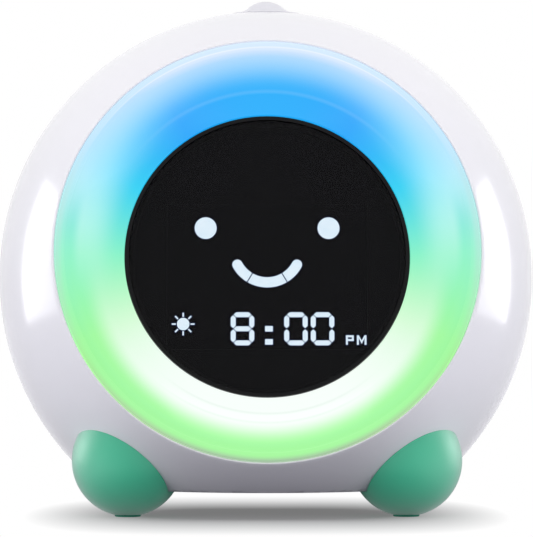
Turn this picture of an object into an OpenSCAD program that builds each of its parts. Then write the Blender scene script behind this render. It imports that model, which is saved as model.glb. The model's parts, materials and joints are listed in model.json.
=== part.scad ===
// Round alarm clock: a ball-shaped body on four feet, with a glowing dish round its display.
// Millimetres, +Z up. The face looks towards -Y, and Z = 0 is the table.

/* [Body] */
// Radius of the ball-shaped front of the body
body_r = 75; // [72:1:90]
// Straight stretch between the ball and the rounded back
barrel_len = 6; // [4:0.2:10]
// Radius of the rounded edge of the back
back_corner_r = 38; // [35:1:45]
// Thickness of the housing walls
wall = 2.4; // [2:0.2:2.8]
// How far the flat belly lies below the ball's centre
belly_drop = 58.4; // [56:0.2:62]
// Height of the flat belly above the table
belly_height = 7.1; // [6:0.1:9]
// Distance of the housing split behind the ball's centre
split_back = 14; // [13:0.5:16]

/* [Light dish] */
// Backward tilt of the face in degrees
face_tilt = 8.5; // [6, 7.5, 8.5, 9.5, 10, 12]
// Radius of the round opening that holds the dish
ring_r = 57.5; // [56:0.5:59]
// Width of the flat lip round the dish
lip_w = 2.4; // [1.5:0.1:4]
// Radius of the window in the middle of the dish
window_r = 38.9; // [38.6:0.1:40]
// Depth of the dish from the ring's edge to the window
dish_depth = 10; // [9:0.5:12]
// Radius of the dish's hollow curve
dish_curve_r = 30; // [26:1:60]
// Wall thickness of the milky plastic
milky_wall = 2; // [1.5:0.1:2.4]
// Number of lamps on the ring board
led_count = 24; // [12:1:32]

/* [Display] */
// Width of the black rim round the lens
bezel_w = 1; // [0.8:0.1:1.2]
// Thickness of the display lens
lens_t = 1.5; // [1.2:0.1:1.8]
// Width of the liquid-crystal glass
lcd_w = 54.6; // [54:0.2:55]
// Height of the liquid-crystal glass
lcd_h = 40; // [39:0.5:40.5]
// Height of one time digit
digit_h = 9.1; // [7:0.1:10]
// Width of one time digit
digit_w = 6.4; // [5:0.1:6.6]

/* [Top button] */
// Radius of the button's base
cap_r = 9.5; // [8.5:0.5:10]
// How far the button stands above the body
cap_rise = 3; // [2.6:0.2:4]
// Travel of the top button
cap_travel = 1.2; // [0.8:0.1:1.5]

/* [Rear controls] */
// Radius of a function button
button_r = 3.6; // [3:0.1:3.8]
// How far a function button stands out of the back
button_proud = 1.2; // [1:0.1:1.6]
// Travel of a function button
button_travel = 0.6; // [0.4:0.1:0.8]
// Sideways distance of the button columns from the middle
button_column = 28; // [26:0.5:30]
// Distance between the buttons of a column
button_pitch = 13; // [12:0.5:13.5]
// Height of the speaker and the middle buttons above the ball's centre
speaker_z = 24; // [23:0.5:26]
// Outer radius of the speaker
speaker_r = 17; // [15:0.5:18]
// Travel of the lock switch
lock_travel = 3; // [2:0.5:4]

/* [Power] */
// Diameter of one battery cell
cell_d = 10.5; // [10:0.1:10.6]
// Length of one battery cell
cell_len = 44.5; // [43:0.5:45]
// Height of the battery compartment's middle, from the ball's centre
battery_z = -17; // [-18:0.5:-17]

/* [Feet] */
// Radius of a front foot
front_foot_r = 15.3; // [14:0.1:16]
// Radius of a rear foot
rear_foot_r = 12; // [11.5:0.1:13]
// Depth of a foot's centre inside the body's surface
foot_inset = 4.3; // [4:0.1:5]
// Angle of the front feet forward of the sides, in degrees
front_foot_angle = 40.2; // [36:0.2:44]
// Distance of the rear feet forward of the back
rear_foot_forward = 18; // [17:0.5:20]

/* [Clearances] */
// Gap round pieces that are assembled without play
fit_gap = 0.2; // [0.15:0.05:0.3]
// Gap round pieces that move
run_gap = 0.3; // [0.25:0.05:0.4]

/* [Hidden] */
$fn = 96;
// Overlap of cutting shapes past the face that they cut
cut = 1;

// Plastics colours
shell_white = "#F2F1F6";
milk_white = "#DDF3F2";
foot_green = "#3A9C7C";
board_green = "#1F6B45";
plain_black = "#151517";
steel_grey = "#B9BBC0";

// Body, measured from the ball's centre, with +Y towards the back
flat_back_r = body_r - back_corner_r;
back_y = barrel_len + back_corner_r;
inner_back_y = back_y - wall;
table_z = -belly_drop - belly_height;
ring_half_angle = asin(ring_r / body_r);
front_reach = body_r * cos(ring_half_angle - face_tilt);
// The outer corner of the middle of the body's depth lies over the origin
body_y = (front_reach - back_y - button_proud) / 2;

// Face stack, measured from the ball's centre along the tilted axis
ring_z = sqrt(pow(body_r, 2) - pow(ring_r, 2));
dish_z = ring_z - dish_depth;
lip_top_z = ring_z - 0.25;
seat_z = ring_z - 8.15;
flange_r = ring_r + 2.7;
flange_t = 2;
collar_drop = 2.8;
lip_inner_r = ring_r - fit_gap - lip_w;
dish_centre = arc_centre([lip_inner_r, lip_top_z], [window_r, dish_z], dish_curve_r);
pan_top_z = seat_z - flange_t;
pan_base_z = pan_top_z - 11;
pan_wall = 1.5;
pan_inner_r = window_r + 2.3;
lug_r = 3;
lug_place_r = flange_r + 2.8;
lug_t = 2.5;
pan_post_r = 2.5;
board_t = 1.6;
led_board_inner_r = pan_inner_r + 5.3;
led_place_r = (led_board_inner_r + flange_r - pan_wall) / 2;
led_size = 5;
led_t = 1.6;
bezel_boss_r = 1.8;
bezel_screw_place_r = pan_inner_r + 3.4;

// Display stack
bezel_r = window_r - fit_gap;
bezel_top_z = dish_z - 0.4;
lens_r = bezel_r - bezel_w;
lens_top_z = bezel_top_z - 0.8;
gasket_t = 0.4;
ledge_top_z = lens_top_z - lens_t - gasket_t;
ledge_t = 1.45;
ledge_inner_r = lens_r - 1.3;
cup_outer_r = pan_inner_r - fit_gap - 0.1;
cup_wall = 1.3;
cup_inner_r = cup_outer_r - cup_wall;
cup_base_z = pan_base_z - flange_t;
cup_flange_r = bezel_screw_place_r + 2.4;
lcd_top_z = ledge_top_z - ledge_t - 0.4;
lcd_t = 2;
lcd_y = -5;
lcd_frame_r = cup_inner_r - run_gap;
main_board_z = cup_base_z + 0.2;
lcd_frame_base_z = main_board_z + board_t;
backlight_t = 2.5;
segment_t = 0.15;
board_screw_places = [[33, 0], [-33, 0], [0, 30], [0, -32]];

// Lit segments, in the face's plane, with +X to the right and +Y up
eye_r = 3;
eye_x = 16.8;
eye_y = 8.4;
smile_r = 9.2;
smile_y = 2.6;
smile_w = 2.8;
smile_half_angle = 62;
segment_gap = 0.3;
time_y = -19.4;
stroke_w = 1.35;
mark_y = time_y - 3.1;
sun_place = [-22.9, -18.1];
sun_r = 1.7;
sun_ray_r = 3.1;
ray_count = 8;

// Top button, measured from the ball's centre
cap_bore_r = cap_r + run_gap;
cap_wall = 1.8;
cap_sink = 0.4;
cap_base_z = body_r - cap_sink;
cap_h = cap_rise + cap_sink;
cap_brim = 0.3;
// The crown is a bell of two arcs that meet about halfway up, and this is the sum of their radii
cap_arcs_r = (pow(cap_r - cap_brim, 2) + pow(cap_h, 2)) / (2 * cap_h);
cap_knob_r = 0.53 * cap_arcs_r;
cap_flank_r = 0.47 * cap_arcs_r;
cap_flange_w = 1.6;
cap_flange_t = 1.4;
collar_drop_z = body_r - 9;
cap_flange_top_z = collar_drop_z - run_gap;
cap_crown_z = cap_base_z - 2.6;
top_board_z = body_r - 21;
top_board_t = 1.2;
tact_h = 3.5;
tact_size = 6;
plunger_r = 1.1;
plunger_h = 1;
top_tact_z = top_board_z + top_board_t + tact_h;
stem_r = 3;
stem_gap = 0.1;
spring_inner_r = 4.7;
spring_wire = 0.8;
bracket_t = 2;

// Screws
screw_r = 1.1;
screw_head_r = 2.1;
screw_head_t = 1.5;
boss_r = 2.6;
bracket_post_x = cap_r + cap_flange_w + boss_r + 0.9;
bracket_w = 2 * (bracket_post_x + boss_r + 0.8);
housing_boss_r = 4;
housing_boss_place_r = body_r - wall - 3.6;
housing_boss_z = belly_drop - 9.6;
housing_boss_x = sqrt(pow(housing_boss_place_r, 2) - pow(housing_boss_z, 2));
housing_boss_len = 30;
screw_pocket_r = screw_head_r + 0.3;
screw_pocket_floor = 3;

// Rear controls
button_flange_r = button_r + 0.6;
button_flange_t = 1.2;
// The flange of the outermost buttons lies lowest, so the switches are set below it
outer_button_reach = norm([button_column, speaker_z + button_pitch]) + button_flange_r;
tact_top_y = back_at(outer_button_reach, wall) - run_gap - button_flange_t - 1.3;
button_board_y = tact_top_y - tact_h;
button_board_w = 14;
button_board_h = 2 * button_pitch + 10;
button_post_r = button_pitch / 2 - button_flange_r - 2 * fit_gap;
lock_x = 14;
lock_z = -44.4;
lock_knob_w = 4.4;
lock_knob_h = 2.8;
lock_case_w = 9;
lock_case_h = 3.4;
grille_hole_r = 0.8;
grille_pitch = 3.6;
grille_rings = 3;

// Power
cell_gap = 0.5;
tray_inner_w = cell_len + 5.5;
tray_inner_h = 3 * (cell_d + cell_gap) + 1;
tray_depth = cell_d + 1.5;
tray_wall = 1.6;
door_ledge = 2.4;
door_seat_y = inner_back_y - 0.3;
door_w = tray_inner_w + 2 * door_ledge;
door_h = tray_inner_h + 2 * door_ledge;
door_tab_r = 4;
door_screw_z = battery_z - door_h / 2 - 1.2;
door_screw_len = 6;
inlet_w = 9;
inlet_h = 3.2;
inlet_x = -14;
power_board_z = lock_z - inlet_h / 2;
power_board_front_y = 20;
power_board_w = 44;
power_board_back_y = min(back_y - 7,
    back_at(norm([power_board_w / 2, power_board_z - board_t]), wall) - run_gap);
power_post_x = 18;
power_post_y = 24;

// Feet
front_foot = foot_place(front_foot_r, body_r, front_foot_angle);
rear_foot_y = back_y - rear_foot_forward;
rear_foot_side_r = flat_back_r + sqrt(pow(back_corner_r, 2) - pow(rear_foot_y - barrel_len, 2))
    - foot_inset;
rear_foot_x = sqrt(pow(rear_foot_side_r, 2) - pow(table_z + rear_foot_r, 2));
foot_flat = 0.6;
pad_r = 3.6;
pad_t = 1.2;
foot_gap = 0.1;
foot_screw_len = 12;
foot_boss_top_z = -belly_drop + 8.4;

// ---- Helpers -------------------------------------------------------------------------------

// Centre of a circle of radius r through points a and b, on the axis side of the chord
function arc_centre(a, b, r) =
    let (mid = (a + b) / 2, step = a - b, reach = sqrt(r * r - step * step / 4))
    mid + reach * [-step[1], step[0]] / norm(step);

// Centre of a foot on the ball: foot_inset deep in its surface and standing on the table
function foot_place(foot_r, ball_r, angle) =
    let (side = sqrt(pow(ball_r - foot_inset, 2) - pow(table_z + foot_r, 2)))
    [side * cos(angle), -side * sin(angle), table_z + foot_r];

// How far back the body's surface lies at a distance from the middle of the back
function back_at(distance, inset) =
    distance <= flat_back_r ? back_y - inset
    : barrel_len + sqrt(pow(back_corner_r - inset, 2) - pow(distance - flat_back_r, 2));

function button_x(i) = (i < 3 ? -1 : 1) * button_column;
function button_z(i) = speaker_z + (i % 3 - 1) * button_pitch;

module at_body() {
    translate([0, body_y, belly_drop + belly_height]) children();
}

// Face frame: +Z out of the face, +X to the viewer's right, +Y up the face
module at_face() {
    at_body() rotate([90 - face_tilt, 0, 0]) children();
}

// Turns a shape that is drawn upwards to point to the back
module to_back() {
    rotate([-90, 0, 0]) children();
}

// Ring with a square section
module ring(outer, inner, from_z, to_z) {
    rotate_extrude() translate([inner, from_z]) square([outer - inner, to_z - from_z]);
}

module disc(r, from_z, to_z) {
    translate([0, 0, from_z]) cylinder(r = r, h = to_z - from_z);
}

// Block centred on X and Y
module block(w, d, from_z, to_z) {
    translate([-w / 2, -d / 2, from_z]) cube([w, d, to_z - from_z]);
}

// Screw along +Z with its head below z = 0
module screw(len, r = screw_r, head_r = screw_head_r) {
    disc(head_r, -screw_head_t, 0);
    disc(r, 0, len);
}

module at_each(places) {
    for (p = places) translate(p) children();
}

module on_circle(count, place_r, start = 0) {
    for (i = [0:count - 1]) rotate([0, 0, start + i * 360 / count])
        translate([place_r, 0, 0]) children();
}

// Half outline of the body, front end up
module body_outline(inset) {
    r = body_r - inset;
    corner = back_corner_r - inset;
    intersection() {
        circle(r);
        square([r, r]);
    }
    translate([0, -barrel_len]) square([r, barrel_len]);
    translate([0, -barrel_len - corner]) square([flat_back_r, corner]);
    intersection() {
        translate([flat_back_r, -barrel_len]) circle(corner);
        translate([flat_back_r, -barrel_len - corner]) square(corner);
    }
}

// The solid body, drawn in by inset on every side
module body_solid(inset) {
    difference() {
        rotate([90, 0, 0]) rotate_extrude() body_outline(inset);
        translate([-body_r, -body_r, -2 * body_r - belly_drop + inset]) cube(2 * body_r);
    }
}

module in_front() {
    intersection() {
        children();
        translate([-body_r, split_back - 2 * body_r, -body_r]) cube(2 * body_r);
    }
}

module behind() {
    intersection() {
        children();
        translate([-body_r, split_back, -body_r]) cube(2 * body_r);
    }
}

module shell() {
    difference() {
        body_solid(0);
        body_solid(wall);
    }
}

// What stands on the inside of a wall, trimmed so that it ends within the wall
module inside_wall() {
    intersection() {
        union() children();
        body_solid(wall / 2);
    }
}

module at_housing_bosses() {
    for (sx = [-1, 1], sz = [-1, 1]) translate([sx * housing_boss_x, 0, sz * housing_boss_z]) children();
}

// A rounded rectangle that is centred
module rounded_plate(w, h, r) {
    square([w - 2 * r, h], center = true);
    square([w, h - 2 * r], center = true);
    for (sx = [-1, 1], sy = [-1, 1]) translate([sx * (w / 2 - r), sy * (h / 2 - r)]) circle(r);
}

// A rounded rectangle on the back, from from_y to to_y
module back_plate(w, h, r, from_y, to_y) {
    translate([0, to_y, 0]) rotate([90, 0, 0]) linear_extrude(to_y - from_y) rounded_plate(w, h, r);
}

// ---- Housing -------------------------------------------------------------------------------

module foot_seat(place) {
    translate([place[0], place[1], 0]) disc(housing_boss_r, -belly_drop, foot_boss_top_z);
}

module foot_hole(place) {
    translate([place[0], place[1], -body_r]) cylinder(r = screw_r + fit_gap, h = body_r);
}

module front_housing_inside() {
    rotate([90 - face_tilt, 0, 0]) {
        ring(ring_r + 4, ring_r - cut, seat_z, ring_z);
        on_circle(4, lug_place_r, 45) disc(pan_post_r, pan_base_z + lug_t, ring_z);
    }
    at_housing_bosses() translate([0, split_back, 0]) rotate([90, 0, 0])
        cylinder(r = housing_boss_r, h = housing_boss_len);
    disc(cap_bore_r + cap_wall, collar_drop_z, body_r);
    for (s = [-1, 1]) translate([s * bracket_post_x, 0, 0]) disc(boss_r, top_board_z, body_r);
    for (s = [-1, 1]) foot_seat([s * front_foot[0], front_foot[1]]);
}

module front_housing() {
    color(shell_white) at_body() difference() {
        union() {
            in_front() shell();
            in_front() inside_wall() front_housing_inside();
        }
        rotate([90 - face_tilt, 0, 0]) {
            disc(ring_r, seat_z - cut, body_r);
            on_circle(4, lug_place_r, 45) disc(screw_r - fit_gap, pan_base_z, pan_base_z + 10);
        }
        at_housing_bosses() translate([0, split_back - 12, 0]) to_back()
            cylinder(r = screw_r - fit_gap, h = 12 + cut);
        disc(cap_bore_r, collar_drop_z - cut, body_r + cut);
        for (s = [-1, 1]) translate([s * bracket_post_x, 0, 0])
            disc(screw_r - fit_gap, top_board_z - cut, top_board_z + 8);
        for (s = [-1, 1]) foot_hole([s * front_foot[0], front_foot[1]]);
    }
}

module button_posts() {
    for (s = [-1, 1], u = [-1, 1])
        translate([s * button_column, button_board_y, speaker_z + u * button_pitch / 2]) to_back()
            cylinder(r = button_post_r, h = back_y - button_board_y);
}

module rear_housing_inside() {
    at_housing_bosses() translate([0, split_back, 0]) to_back()
        cylinder(r = housing_boss_r, h = back_y);
    button_posts();
    translate([0, inner_back_y - 4, speaker_z]) to_back()
        ring(speaker_r + fit_gap + tray_wall, speaker_r + fit_gap, 0, wall + 3);
    translate([0, 0, battery_z])
        back_plate(door_w + 2 * tray_wall, door_h + 2 * tray_wall, 3,
            inner_back_y - tray_depth - tray_wall, back_y);
    translate([0, door_seat_y - door_screw_len - 1.5, door_screw_z]) to_back()
        cylinder(r = door_tab_r + tray_wall, h = back_y);
    for (s = [-1, 1]) foot_seat([s * rear_foot_x, rear_foot_y]);
    for (s = [-1, 1]) translate([s * power_post_x, power_post_y, 0])
        disc(boss_r, -belly_drop, power_board_z - board_t);
}

// Outline of the battery door with its screw tab, centred on the compartment
module door_outline(gap) {
    rounded_plate(door_w - 2 * gap, door_h - 2 * gap, 3 - gap);
    translate([0, door_screw_z - battery_z]) circle(door_tab_r - gap);
}

module grille_holes() {
    translate([0, inner_back_y - cut, speaker_z]) to_back() {
        cylinder(r = grille_hole_r, h = wall + 2 * cut);
        for (k = [1:grille_rings]) on_circle(6 * k, k * grille_pitch)
            cylinder(r = grille_hole_r, h = wall + 2 * cut);
    }
}

module battery_hollow() {
    translate([0, 0, battery_z]) {
        back_plate(tray_inner_w, tray_inner_h, 1, inner_back_y - tray_depth, back_y + cut);
        translate([0, back_y + cut, 0]) rotate([90, 0, 0]) linear_extrude(back_y + cut - door_seat_y)
            door_outline(0);
    }
    translate([0, door_seat_y - door_screw_len, door_screw_z]) to_back()
        cylinder(r = screw_r - fit_gap, h = door_screw_len + cut);
}

module rear_housing() {
    color(shell_white) at_body() difference() {
        union() {
            behind() shell();
            behind() inside_wall() rear_housing_inside();
        }
        grille_holes();
        battery_hollow();
        at_housing_bosses() translate([0, split_back - cut, 0]) to_back() {
            cylinder(r = screw_r + fit_gap, h = back_y);
            translate([0, 0, cut + screw_pocket_floor]) cylinder(r = screw_pocket_r, h = back_y);
        }
        for (i = [0:5]) translate([button_x(i), button_board_y + 2, button_z(i)]) to_back()
            cylinder(r = button_r + run_gap, h = back_y);
        for (s = [-1, 1], u = [-1, 1])
            translate([s * button_column, button_board_y - cut, speaker_z + u * button_pitch / 2])
                to_back() cylinder(r = screw_r - 2 * fit_gap, h = 7);
        translate([lock_x, 0, lock_z])
            back_plate(lock_knob_w + lock_travel + 2 * run_gap, lock_knob_h + 2 * run_gap, 0.5,
                power_board_back_y, back_y);
        translate([inlet_x, 0, lock_z])
            back_plate(inlet_w + 2 * run_gap, inlet_h + 2 * run_gap, inlet_h / 2,
                power_board_back_y, back_y);
        for (s = [-1, 1]) foot_hole([s * rear_foot_x, rear_foot_y]);
        for (s = [-1, 1]) translate([s * power_post_x, power_post_y, 0])
            disc(screw_r - fit_gap, power_board_z - 7, power_board_z);
    }
}

module housing_screws() {
    color(steel_grey) at_body() at_housing_bosses()
        translate([0, split_back + screw_pocket_floor, 0]) rotate([90, 0, 0])
            screw(12, screw_r - fit_gap);
}

module battery_door() {
    color(shell_white) at_body() difference() {
        intersection() {
            translate([0, back_y, battery_z]) rotate([90, 0, 0])
                linear_extrude(back_y - door_seat_y - run_gap) door_outline(run_gap);
            body_solid(0);
        }
        translate([0, door_seat_y - cut, door_screw_z]) to_back() {
            cylinder(r = screw_r + fit_gap, h = back_y);
            translate([0, 0, cut + 1.2]) cylinder(r = screw_pocket_r, h = back_y);
        }
    }
}

module door_screw() {
    color(steel_grey) at_body() translate([0, door_seat_y + 1.2, door_screw_z]) rotate([90, 0, 0])
        screw(door_screw_len, screw_r - 2 * fit_gap);
}

// ---- Light dish ----------------------------------------------------------------------------

module diffuser_outline() {
    skirt_r = ring_r - fit_gap;
    intersection() {
        difference() {
            translate(dish_centre) circle(dish_curve_r + milky_wall, $fn = 360);
            translate(dish_centre) circle(dish_curve_r, $fn = 360);
        }
        translate([window_r, dish_z - milky_wall])
            square([skirt_r - window_r, lip_top_z - dish_z + milky_wall]);
    }
    translate([lip_inner_r, lip_top_z - milky_wall]) square([lip_w, milky_wall]);
    translate([skirt_r - milky_wall, pan_top_z]) square([milky_wall, lip_top_z - pan_top_z]);
    translate([skirt_r - cut, pan_top_z]) square([flange_r - skirt_r + cut, flange_t]);
    translate([window_r, dish_z - collar_drop]) square([milky_wall - 0.2, collar_drop]);
}

module diffuser_ring() {
    color(milk_white) at_face() rotate_extrude() diffuser_outline();
}

module light_pan() {
    color(shell_white) at_face() difference() {
        union() {
            ring(flange_r, flange_r - pan_wall, pan_base_z, pan_top_z);
            ring(flange_r, pan_inner_r, pan_base_z, pan_base_z + pan_wall);
            ring(pan_inner_r + pan_wall, pan_inner_r, pan_base_z, pan_base_z + 8);
            on_circle(3, bezel_screw_place_r, 90) disc(bezel_boss_r, pan_base_z, pan_base_z + 7);
            difference() {
                on_circle(4, lug_place_r, 45) disc(lug_r, pan_base_z, pan_base_z + lug_t);
                disc(flange_r - pan_wall, pan_base_z - cut, pan_top_z);
            }
        }
        on_circle(3, bezel_screw_place_r, 90) disc(screw_r - fit_gap, pan_base_z - cut, pan_base_z + 6);
        on_circle(4, lug_place_r, 45) disc(screw_r + fit_gap, pan_base_z - cut, pan_top_z);
    }
}

module led_ring_board() {
    color(board_green) at_face()
        ring(flange_r - pan_wall - fit_gap, led_board_inner_r,
            pan_base_z + pan_wall, pan_base_z + pan_wall + board_t);
}

module ring_leds() {
    led_z = pan_base_z + pan_wall + board_t;
    color("white") at_face() on_circle(led_count, led_place_r)
        block(led_size, led_size, led_z, led_z + led_t);
}

module pan_screws() {
    color(steel_grey) at_face() on_circle(4, lug_place_r, 45) translate([0, 0, pan_base_z])
        screw(9, screw_r - fit_gap);
}

// ---- Display -------------------------------------------------------------------------------

module display_bezel() {
    color(plain_black) at_face() difference() {
        rotate_extrude() {
            translate([lens_r, ledge_top_z - ledge_t])
                square([bezel_w, bezel_top_z - ledge_top_z + ledge_t]);
            translate([ledge_inner_r, ledge_top_z - ledge_t]) square([cup_outer_r - ledge_inner_r, ledge_t]);
            translate([cup_inner_r, cup_base_z]) square([cup_wall, ledge_top_z - cup_base_z]);
            translate([cup_inner_r, cup_base_z]) square([cup_flange_r - cup_inner_r, flange_t]);
        }
        on_circle(3, bezel_screw_place_r, 90) disc(screw_r + fit_gap, cup_base_z - cut, pan_base_z + cut);
    }
}

module bezel_screws() {
    color(steel_grey) at_face() on_circle(3, bezel_screw_place_r, 90) translate([0, 0, cup_base_z])
        screw(7, screw_r - fit_gap);
}

module display_lens() {
    color("#1A1A1E") at_face() disc(lens_r - 0.15, lens_top_z - lens_t, lens_top_z);
}

module lens_gasket() {
    color(plain_black) at_face() ring(lens_r - 0.3, ledge_inner_r, ledge_top_z, ledge_top_z + gasket_t);
}

module lcd_glass() {
    color("#101018") at_face() translate([0, lcd_y, 0])
        block(lcd_w, lcd_h, lcd_top_z - lcd_t, lcd_top_z);
}

module lit(colour = "#DFF0FC") {
    color(colour) at_face() translate([0, 0, lcd_top_z]) linear_extrude(segment_t) children();
}

module smile() {
    difference() {
        union() {
            intersection() {
                difference() {
                    circle(smile_r + smile_w / 2);
                    circle(smile_r - smile_w / 2);
                }
                polygon([[0, 0], 3 * smile_r * [-sin(smile_half_angle), -cos(smile_half_angle)],
                    [0, -3 * smile_r / cos(smile_half_angle)],
                    3 * smile_r * [sin(smile_half_angle), -cos(smile_half_angle)]]);
            }
            for (s = [-1, 1])
                translate(smile_r * [s * sin(smile_half_angle), -cos(smile_half_angle)]) circle(smile_w / 2);
        }
        for (s = [-1, 1]) rotate(s * smile_half_angle / 2)
            translate([0, -smile_r]) square([segment_gap, 2 * smile_w], center = true);
    }
}

module lcd_face_segments() {
    lit() {
        for (s = [-1, 1]) translate([s * eye_x, eye_y]) circle(eye_r);
        translate([0, smile_y]) smile();
    }
}

// One stroke of a digit along X, with mitred ends
module stroke(len) {
    half = stroke_w / 2;
    tip = len / 2 - segment_gap / 2;
    polygon([[-tip, 0], [half - tip, half], [tip - half, half],
        [tip, 0], [tip - half, -half], [half - tip, -half]]);
}

// A seven-stroke digit. on holds the strokes: top, middle, bottom, then the upper and lower pair
module digit(on) {
    row = (digit_h - stroke_w) / 2;
    column = (digit_w - stroke_w) / 2;
    for (i = [0:2]) if (on[i]) translate([0, (1 - i) * row]) stroke(2 * column);
    for (sx = [-1, 1], sy = [-1, 1]) if (on[sy > 0 ? 3 : 4])
        translate([sx * column, sy * row / 2]) rotate(90) stroke(row);
}

// The letters of the afternoon mark, built of bars
module afternoon_mark(h) {
    bar = h / 5;
    for (x = [0, 1.15 * h, 1.95 * h]) translate([x, 0]) square([bar, h]);
    translate([bar, h - bar]) square([0.42 * h, bar]);
    translate([bar, h / 2 - bar / 2]) square([0.42 * h, bar]);
    translate([bar + 0.42 * h, h / 2 - bar / 2]) square([bar, h / 2 + bar / 2]);
    for (s = [0, 1]) translate([1.15 * h + bar + s * (0.8 * h - bar), h]) mirror([s, 0])
        polygon([[0, 0], [0.3 * h, -0.55 * h], [0.3 * h, -0.9 * h], [0, -1.4 * bar]]);
}

module sun() {
    circle(sun_r);
    for (i = [0:ray_count - 1]) rotate(i * 360 / ray_count)
        translate([sun_r + segment_gap, -0.2]) square([sun_ray_r - sun_r - segment_gap, 0.4]);
}

module lcd_time_segments() {
    lit() {
        translate([-6.75, time_y]) digit([1, 1, 1, 1, 1]);
        translate([7.8, time_y]) digit([1, 0, 1, 1, 1]);
        translate([15.05, time_y]) digit([1, 0, 1, 1, 1]);
        for (dy = [-3.6, 0]) translate([0.45, time_y + dy]) square([2.1, 1.5], center = true);
        translate([21.4, mark_y - 1.3]) afternoon_mark(2.6);
        translate(sun_place) sun();
    }
}

module lcd_frame() {
    color("#2A2A2E") at_face() difference() {
        disc(lcd_frame_r, lcd_frame_base_z, lcd_top_z - 0.2);
        translate([0, lcd_y, 0])
            block(lcd_w + fit_gap, lcd_h + fit_gap, lcd_frame_base_z - cut, lcd_top_z + cut);
        at_each(board_screw_places) disc(screw_r - fit_gap, lcd_frame_base_z - cut, lcd_frame_base_z + 5);
    }
}

module lcd_backlight() {
    top_z = lcd_top_z - lcd_t - 0.1;
    color("white") at_face() translate([0, lcd_y, 0])
        block(lcd_w - 1, lcd_h - 1, top_z - backlight_t, top_z);
}

module main_board() {
    color(board_green) at_face() difference() {
        disc(lcd_frame_r - 0.1, main_board_z, main_board_z + board_t);
        at_each(board_screw_places) disc(screw_r + fit_gap, main_board_z - cut, main_board_z + 3);
    }
}

module main_board_parts() {
    color(plain_black) at_face() translate([0, 0, main_board_z]) mirror([0, 0, 1]) {
        translate([-4, 6, 0]) block(12, 12, 0, 1.5);
        translate([16, 10, 0]) block(5, 6.5, 0, 1.6);
        translate([-20, 8, 0]) block(6, 5, 0, 1.6);
        translate([18, -10, 0]) disc(4, 0, 9);
        translate([-18, -12, 0]) disc(3.2, 0, 7);
        translate([-2, 20, 0]) block(10, 4, 0, 3.5);
        translate([0, -22, 0]) block(16, 5, 0, 4);
    }
}

module board_screws() {
    color(steel_grey) at_face() at_each(board_screw_places) translate([0, 0, main_board_z])
        screw(6, screw_r - fit_gap);
}

// Flat ribbon from the main board's plug down to the power board's plug
module ribbon_cable() {
    t = 0.6;
    plug_z = main_board_z - 4;
    plug_y = -22;
    start = [plug_y * sin(face_tilt) - plug_z * cos(face_tilt),
        plug_y * cos(face_tilt) + plug_z * sin(face_tilt)];
    knee = [power_board_front_y - 14, power_board_z + 4];
    end = [power_board_front_y + 3, power_board_z];
    color("#D8D8DC") at_body() translate([-6, 0, 0]) rotate([90, 0, 90]) linear_extrude(12)
        polygon([start, [start[0] + 3, start[1] - 2], knee, [knee[0] + 3, end[1]], end,
            [end[0], end[1] + t], [knee[0] + 3.3, end[1] + t], [knee[0] + t, knee[1] + t],
            [start[0] + 3 + t, start[1] - 2 + t], [start[0] + t / 4, start[1] + t]]);
}

// ---- Top button ----------------------------------------------------------------------------

// Half outline of the bell-shaped crown: a round top that flares into a narrow flat brim
module crown_outline() {
    knob_z = body_r + cap_rise - cap_knob_r;
    flank_z = cap_base_z + cap_flank_r;
    flank_x = sqrt(pow(cap_knob_r + cap_flank_r, 2) - pow(flank_z - knob_z, 2));
    meet_z = knob_z + (flank_z - knob_z) * cap_knob_r / (cap_knob_r + cap_flank_r);
    difference() {
        translate([0, cap_crown_z]) square([flank_x, meet_z - cap_crown_z]);
        translate([flank_x, flank_z]) circle(cap_flank_r);
    }
    intersection() {
        translate([0, knob_z]) circle(cap_knob_r);
        translate([0, cap_crown_z]) square([cap_knob_r, body_r]);
    }
    translate([0, cap_crown_z]) square([cap_r, cap_base_z - cap_crown_z]);
}

module top_button() {
    color(milk_white) at_body() difference() {
        union() {
            rotate_extrude() crown_outline();
            ring(cap_r, cap_r - cap_wall, cap_flange_top_z - cap_flange_t, cap_crown_z + cut);
            ring(cap_r + cap_flange_w, cap_r - cap_wall, cap_flange_top_z - cap_flange_t, cap_flange_top_z);
            disc(stem_r, top_tact_z + cap_travel + stem_gap, cap_crown_z + cut);
        }
        disc(plunger_r + fit_gap, top_tact_z, top_tact_z + plunger_h + cap_travel + stem_gap);
    }
}

module top_button_spring() {
    color(steel_grey) at_body()
        ring(spring_inner_r + spring_wire, spring_inner_r, top_board_z + top_board_t, cap_crown_z);
}

module tact_switch() {
    block(tact_size, tact_size, 0, tact_h);
    disc(plunger_r, tact_h, tact_h + plunger_h);
}

module top_switch() {
    color(plain_black) at_body() translate([0, 0, top_board_z + top_board_t]) tact_switch();
}

module top_switch_board() {
    color(board_green) at_body() block(22, 14, top_board_z, top_board_z + top_board_t);
}

module top_bracket() {
    color(shell_white) at_body() difference() {
        block(bracket_w, 14, top_board_z - bracket_t, top_board_z);
        for (s = [-1, 1]) translate([s * bracket_post_x, 0, 0])
            disc(screw_r + fit_gap, top_board_z - bracket_t - cut, top_board_z + cut);
    }
}

module bracket_screws() {
    color(steel_grey) at_body() for (s = [-1, 1])
        translate([s * bracket_post_x, 0, top_board_z - bracket_t]) screw(8, screw_r - fit_gap);
}

// ---- Rear controls -------------------------------------------------------------------------

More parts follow.
